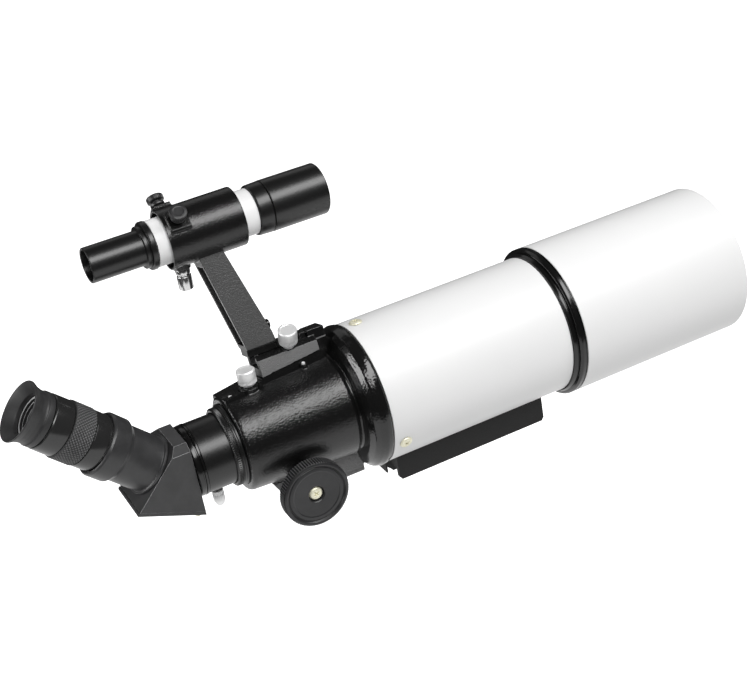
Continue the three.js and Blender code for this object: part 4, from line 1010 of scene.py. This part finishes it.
def finder():
    finder_shoe()
    bracket()
    plunger()
    adjusters()
    thumb_screw("finder_clamp_screw", aimed(LEANING, CLAMP_OUT, *CLAMP), SILVER,
                "finder_clamp_screw", 5.4, 1.6, 5.8, 10, 3)
    ring = [(-1.6, 14.2), (-1.6, 15.4), (-0.8, 16), (0.8, 16), (1.6, 15.4), (1.6, 14.2)]
    turned("o_ring", ring, FINDER, RUBBER, "finder_gimbal", "finder_o_ring", MEDIUM, 0.5)
    tube = [(-52, 12.8), (-52, 14), (12, 14), (12, 12.4), (34, 12.4), (34, 11.2), (9, 11.2),
            (9, 12.8)]
    turned("finder_tube_shell", tube, FINDER, WHITE, "finder", "finder_tube", FINE, 0.3)
    lock = [(12.3, 12.6), (12.3, 15), (13, 15.4), (20.6, 15.7), (21, 15.4), (21, 12.6)]
    turned("finder_lock_collar", lock, FINDER, ANODISED, "finder_lock_ring", "finder_lock_ring",
           FINE, 0.2)
    cell = [
        (21.4, 12.6), (21.4, 15.4), (21.8, 15.8), (57.2, 15.8), (57.8, 15.2), (57.4, 14.4),
        (50, 13.8), (50, 12.6), (46.5, 12.6), (46.5, 11.4), (42, 11.4), (42, 12.6),
    ]
    turned("finder_cell_tube", cell, FINDER, ANODISED, "finder_cell", "finder_cell", FINE, 0.25)
    lens("finder_front_lens", "finder_objective", FINDER, 46.9, 49.4, -0.5, 0.8, 12.2,
         "finder_cell")
    eye = [
        (-91, 9.3), (-91, 10.3), (-90.6, 10.6), (-58.6, 10.6), (-58.4, 12.6), (-56.6, 12.8),
        (-56.4, 12), (-55.8, 12), (-55.6, 14.2), (-55, 14.5), (-52.8, 14.5), (-52.4, 14.1),
        (-52.4, 12.5), (-44, 12.5), (-44, 9), (-85, 9), (-85, 8), (-87, 8), (-87, 9.3),
    ]
    obj = turned("finder_eye_tube", eye, FINDER, ANODISED, "finder", "finder_eyepiece", FINE, 0.2)
    # Painted light: the rear rim of the finder's eyepiece gets the lighter grey of the knurl tops.
    rear_edge = FINDER @ Vector((-90.8, 0, 0))
    finish_faces(obj, KNURL_PAINTED_HIGHLIGHT, BACKWARD, lambda p: p.x < rear_edge.x, 0.6)
    lens("finder_rear_lens", "finder_eye_lens", FINDER, -84.1, -81.6, 0.6, 0.8, 8.7, "finder")


def bar():
    bevelled("dovetail_bar", DULL, 0.5)
    for end in ("rear", "front"):
        bevelled(f"bar_screw_{end}", STEEL, 0.15)


# ---------------------------------------------------------------- studio


def area_light(name, location, target, width, height, power):
    data = bpy.data.lights.new(name, "AREA")
    data.shape = "RECTANGLE"
    data.size, data.size_y = width, height
    data.energy = power
    light = bpy.data.objects.new(name, data)
    light.location = location
    light.rotation_mode = "QUATERNION"
    light.rotation_quaternion = (Vector(target) - Vector(location)).to_track_quat("-Z", "Y")
    bpy.context.scene.collection.objects.link(light)


def studio():
    scene = bpy.context.scene
    scene.view_settings.view_transform = "Standard"
    world = bpy.data.worlds.new("studio")
    world.use_nodes = True
    background = world.node_tree.nodes["Background"]
    background.inputs["Color"].default_value = (1, 1, 1, 1)
    background.inputs["Strength"].default_value = 0.03
    scene.world = world
    centre = (-0.03, 0, 0.08)
    area_light("key", (0.27, -0.74, 1.1), centre, 1.9, 0.6, 24)
    area_light("bounce", (-0.03, -0.1, -0.5), (-0.03, -0.1, 0), 2.7, 2.7, 22)
    area_light("side", (-1.35, 0.2, 0.52), centre, 0.95, 0.5, 11)
    area_light("far_fill", (-0.1, 1.1, 0.9), centre, 1.6, 0.6, 1.2)

    bm = bmesh.new()
    bmesh.ops.create_grid(bm, x_segments=1, y_segments=1, size=6)
    mesh = bpy.data.meshes.new("floor")
    bm.to_mesh(mesh)
    bm.free()
    floor = bpy.data.objects.new("floor", mesh)
    floor.location.z = -0.16
    mat, _, bsdf = shader("floor_white", grey(0.9), 0.9)
    bsdf.inputs["Emission Color"].default_value = (1, 1, 1, 1)
    bsdf.inputs["Emission Strength"].default_value = 1.0
    mesh.materials.append(mat)
    scene.collection.objects.link(floor)
    floor.visible_glossy = False
    floor.visible_diffuse = False
    floor.visible_shadow = False


def camera():
    """The view from the right, behind and above, with the camera rolled a little."""
    azimuth, elevation, roll = (math.radians(a) for a in (-21.92, 27.37, -10.59))
    distance = 0.92379
    target = Vector((-0.0453, 0, 0.08544))
    back = Vector((
        math.sin(azimuth) * math.cos(elevation),
        -math.cos(azimuth) * math.cos(elevation),
        math.sin(elevation),
    ))
    side = Vector((math.cos(azimuth), math.sin(azimuth), 0))
    up = back.cross(side)
    right = side * math.cos(roll) + up * math.sin(roll)
    upright = up * math.cos(roll) - side * math.sin(roll)
    data = bpy.data.cameras.new("camera")
    data.lens = 72.62
    data.sensor_width = 36
    data.clip_start = 0.01
    cam = bpy.data.objects.new("camera", data)
    turn = Matrix((right, upright, back)).transposed().to_4x4()
    cam.matrix_world = Matrix.Translation(target + back * distance) @ turn
    bpy.context.scene.collection.objects.link(cam)
    bpy.context.scene.camera = cam


camera()
optical_tube()
bar()
focuser()
diagonal()
eyepiece()
finder()
studio()
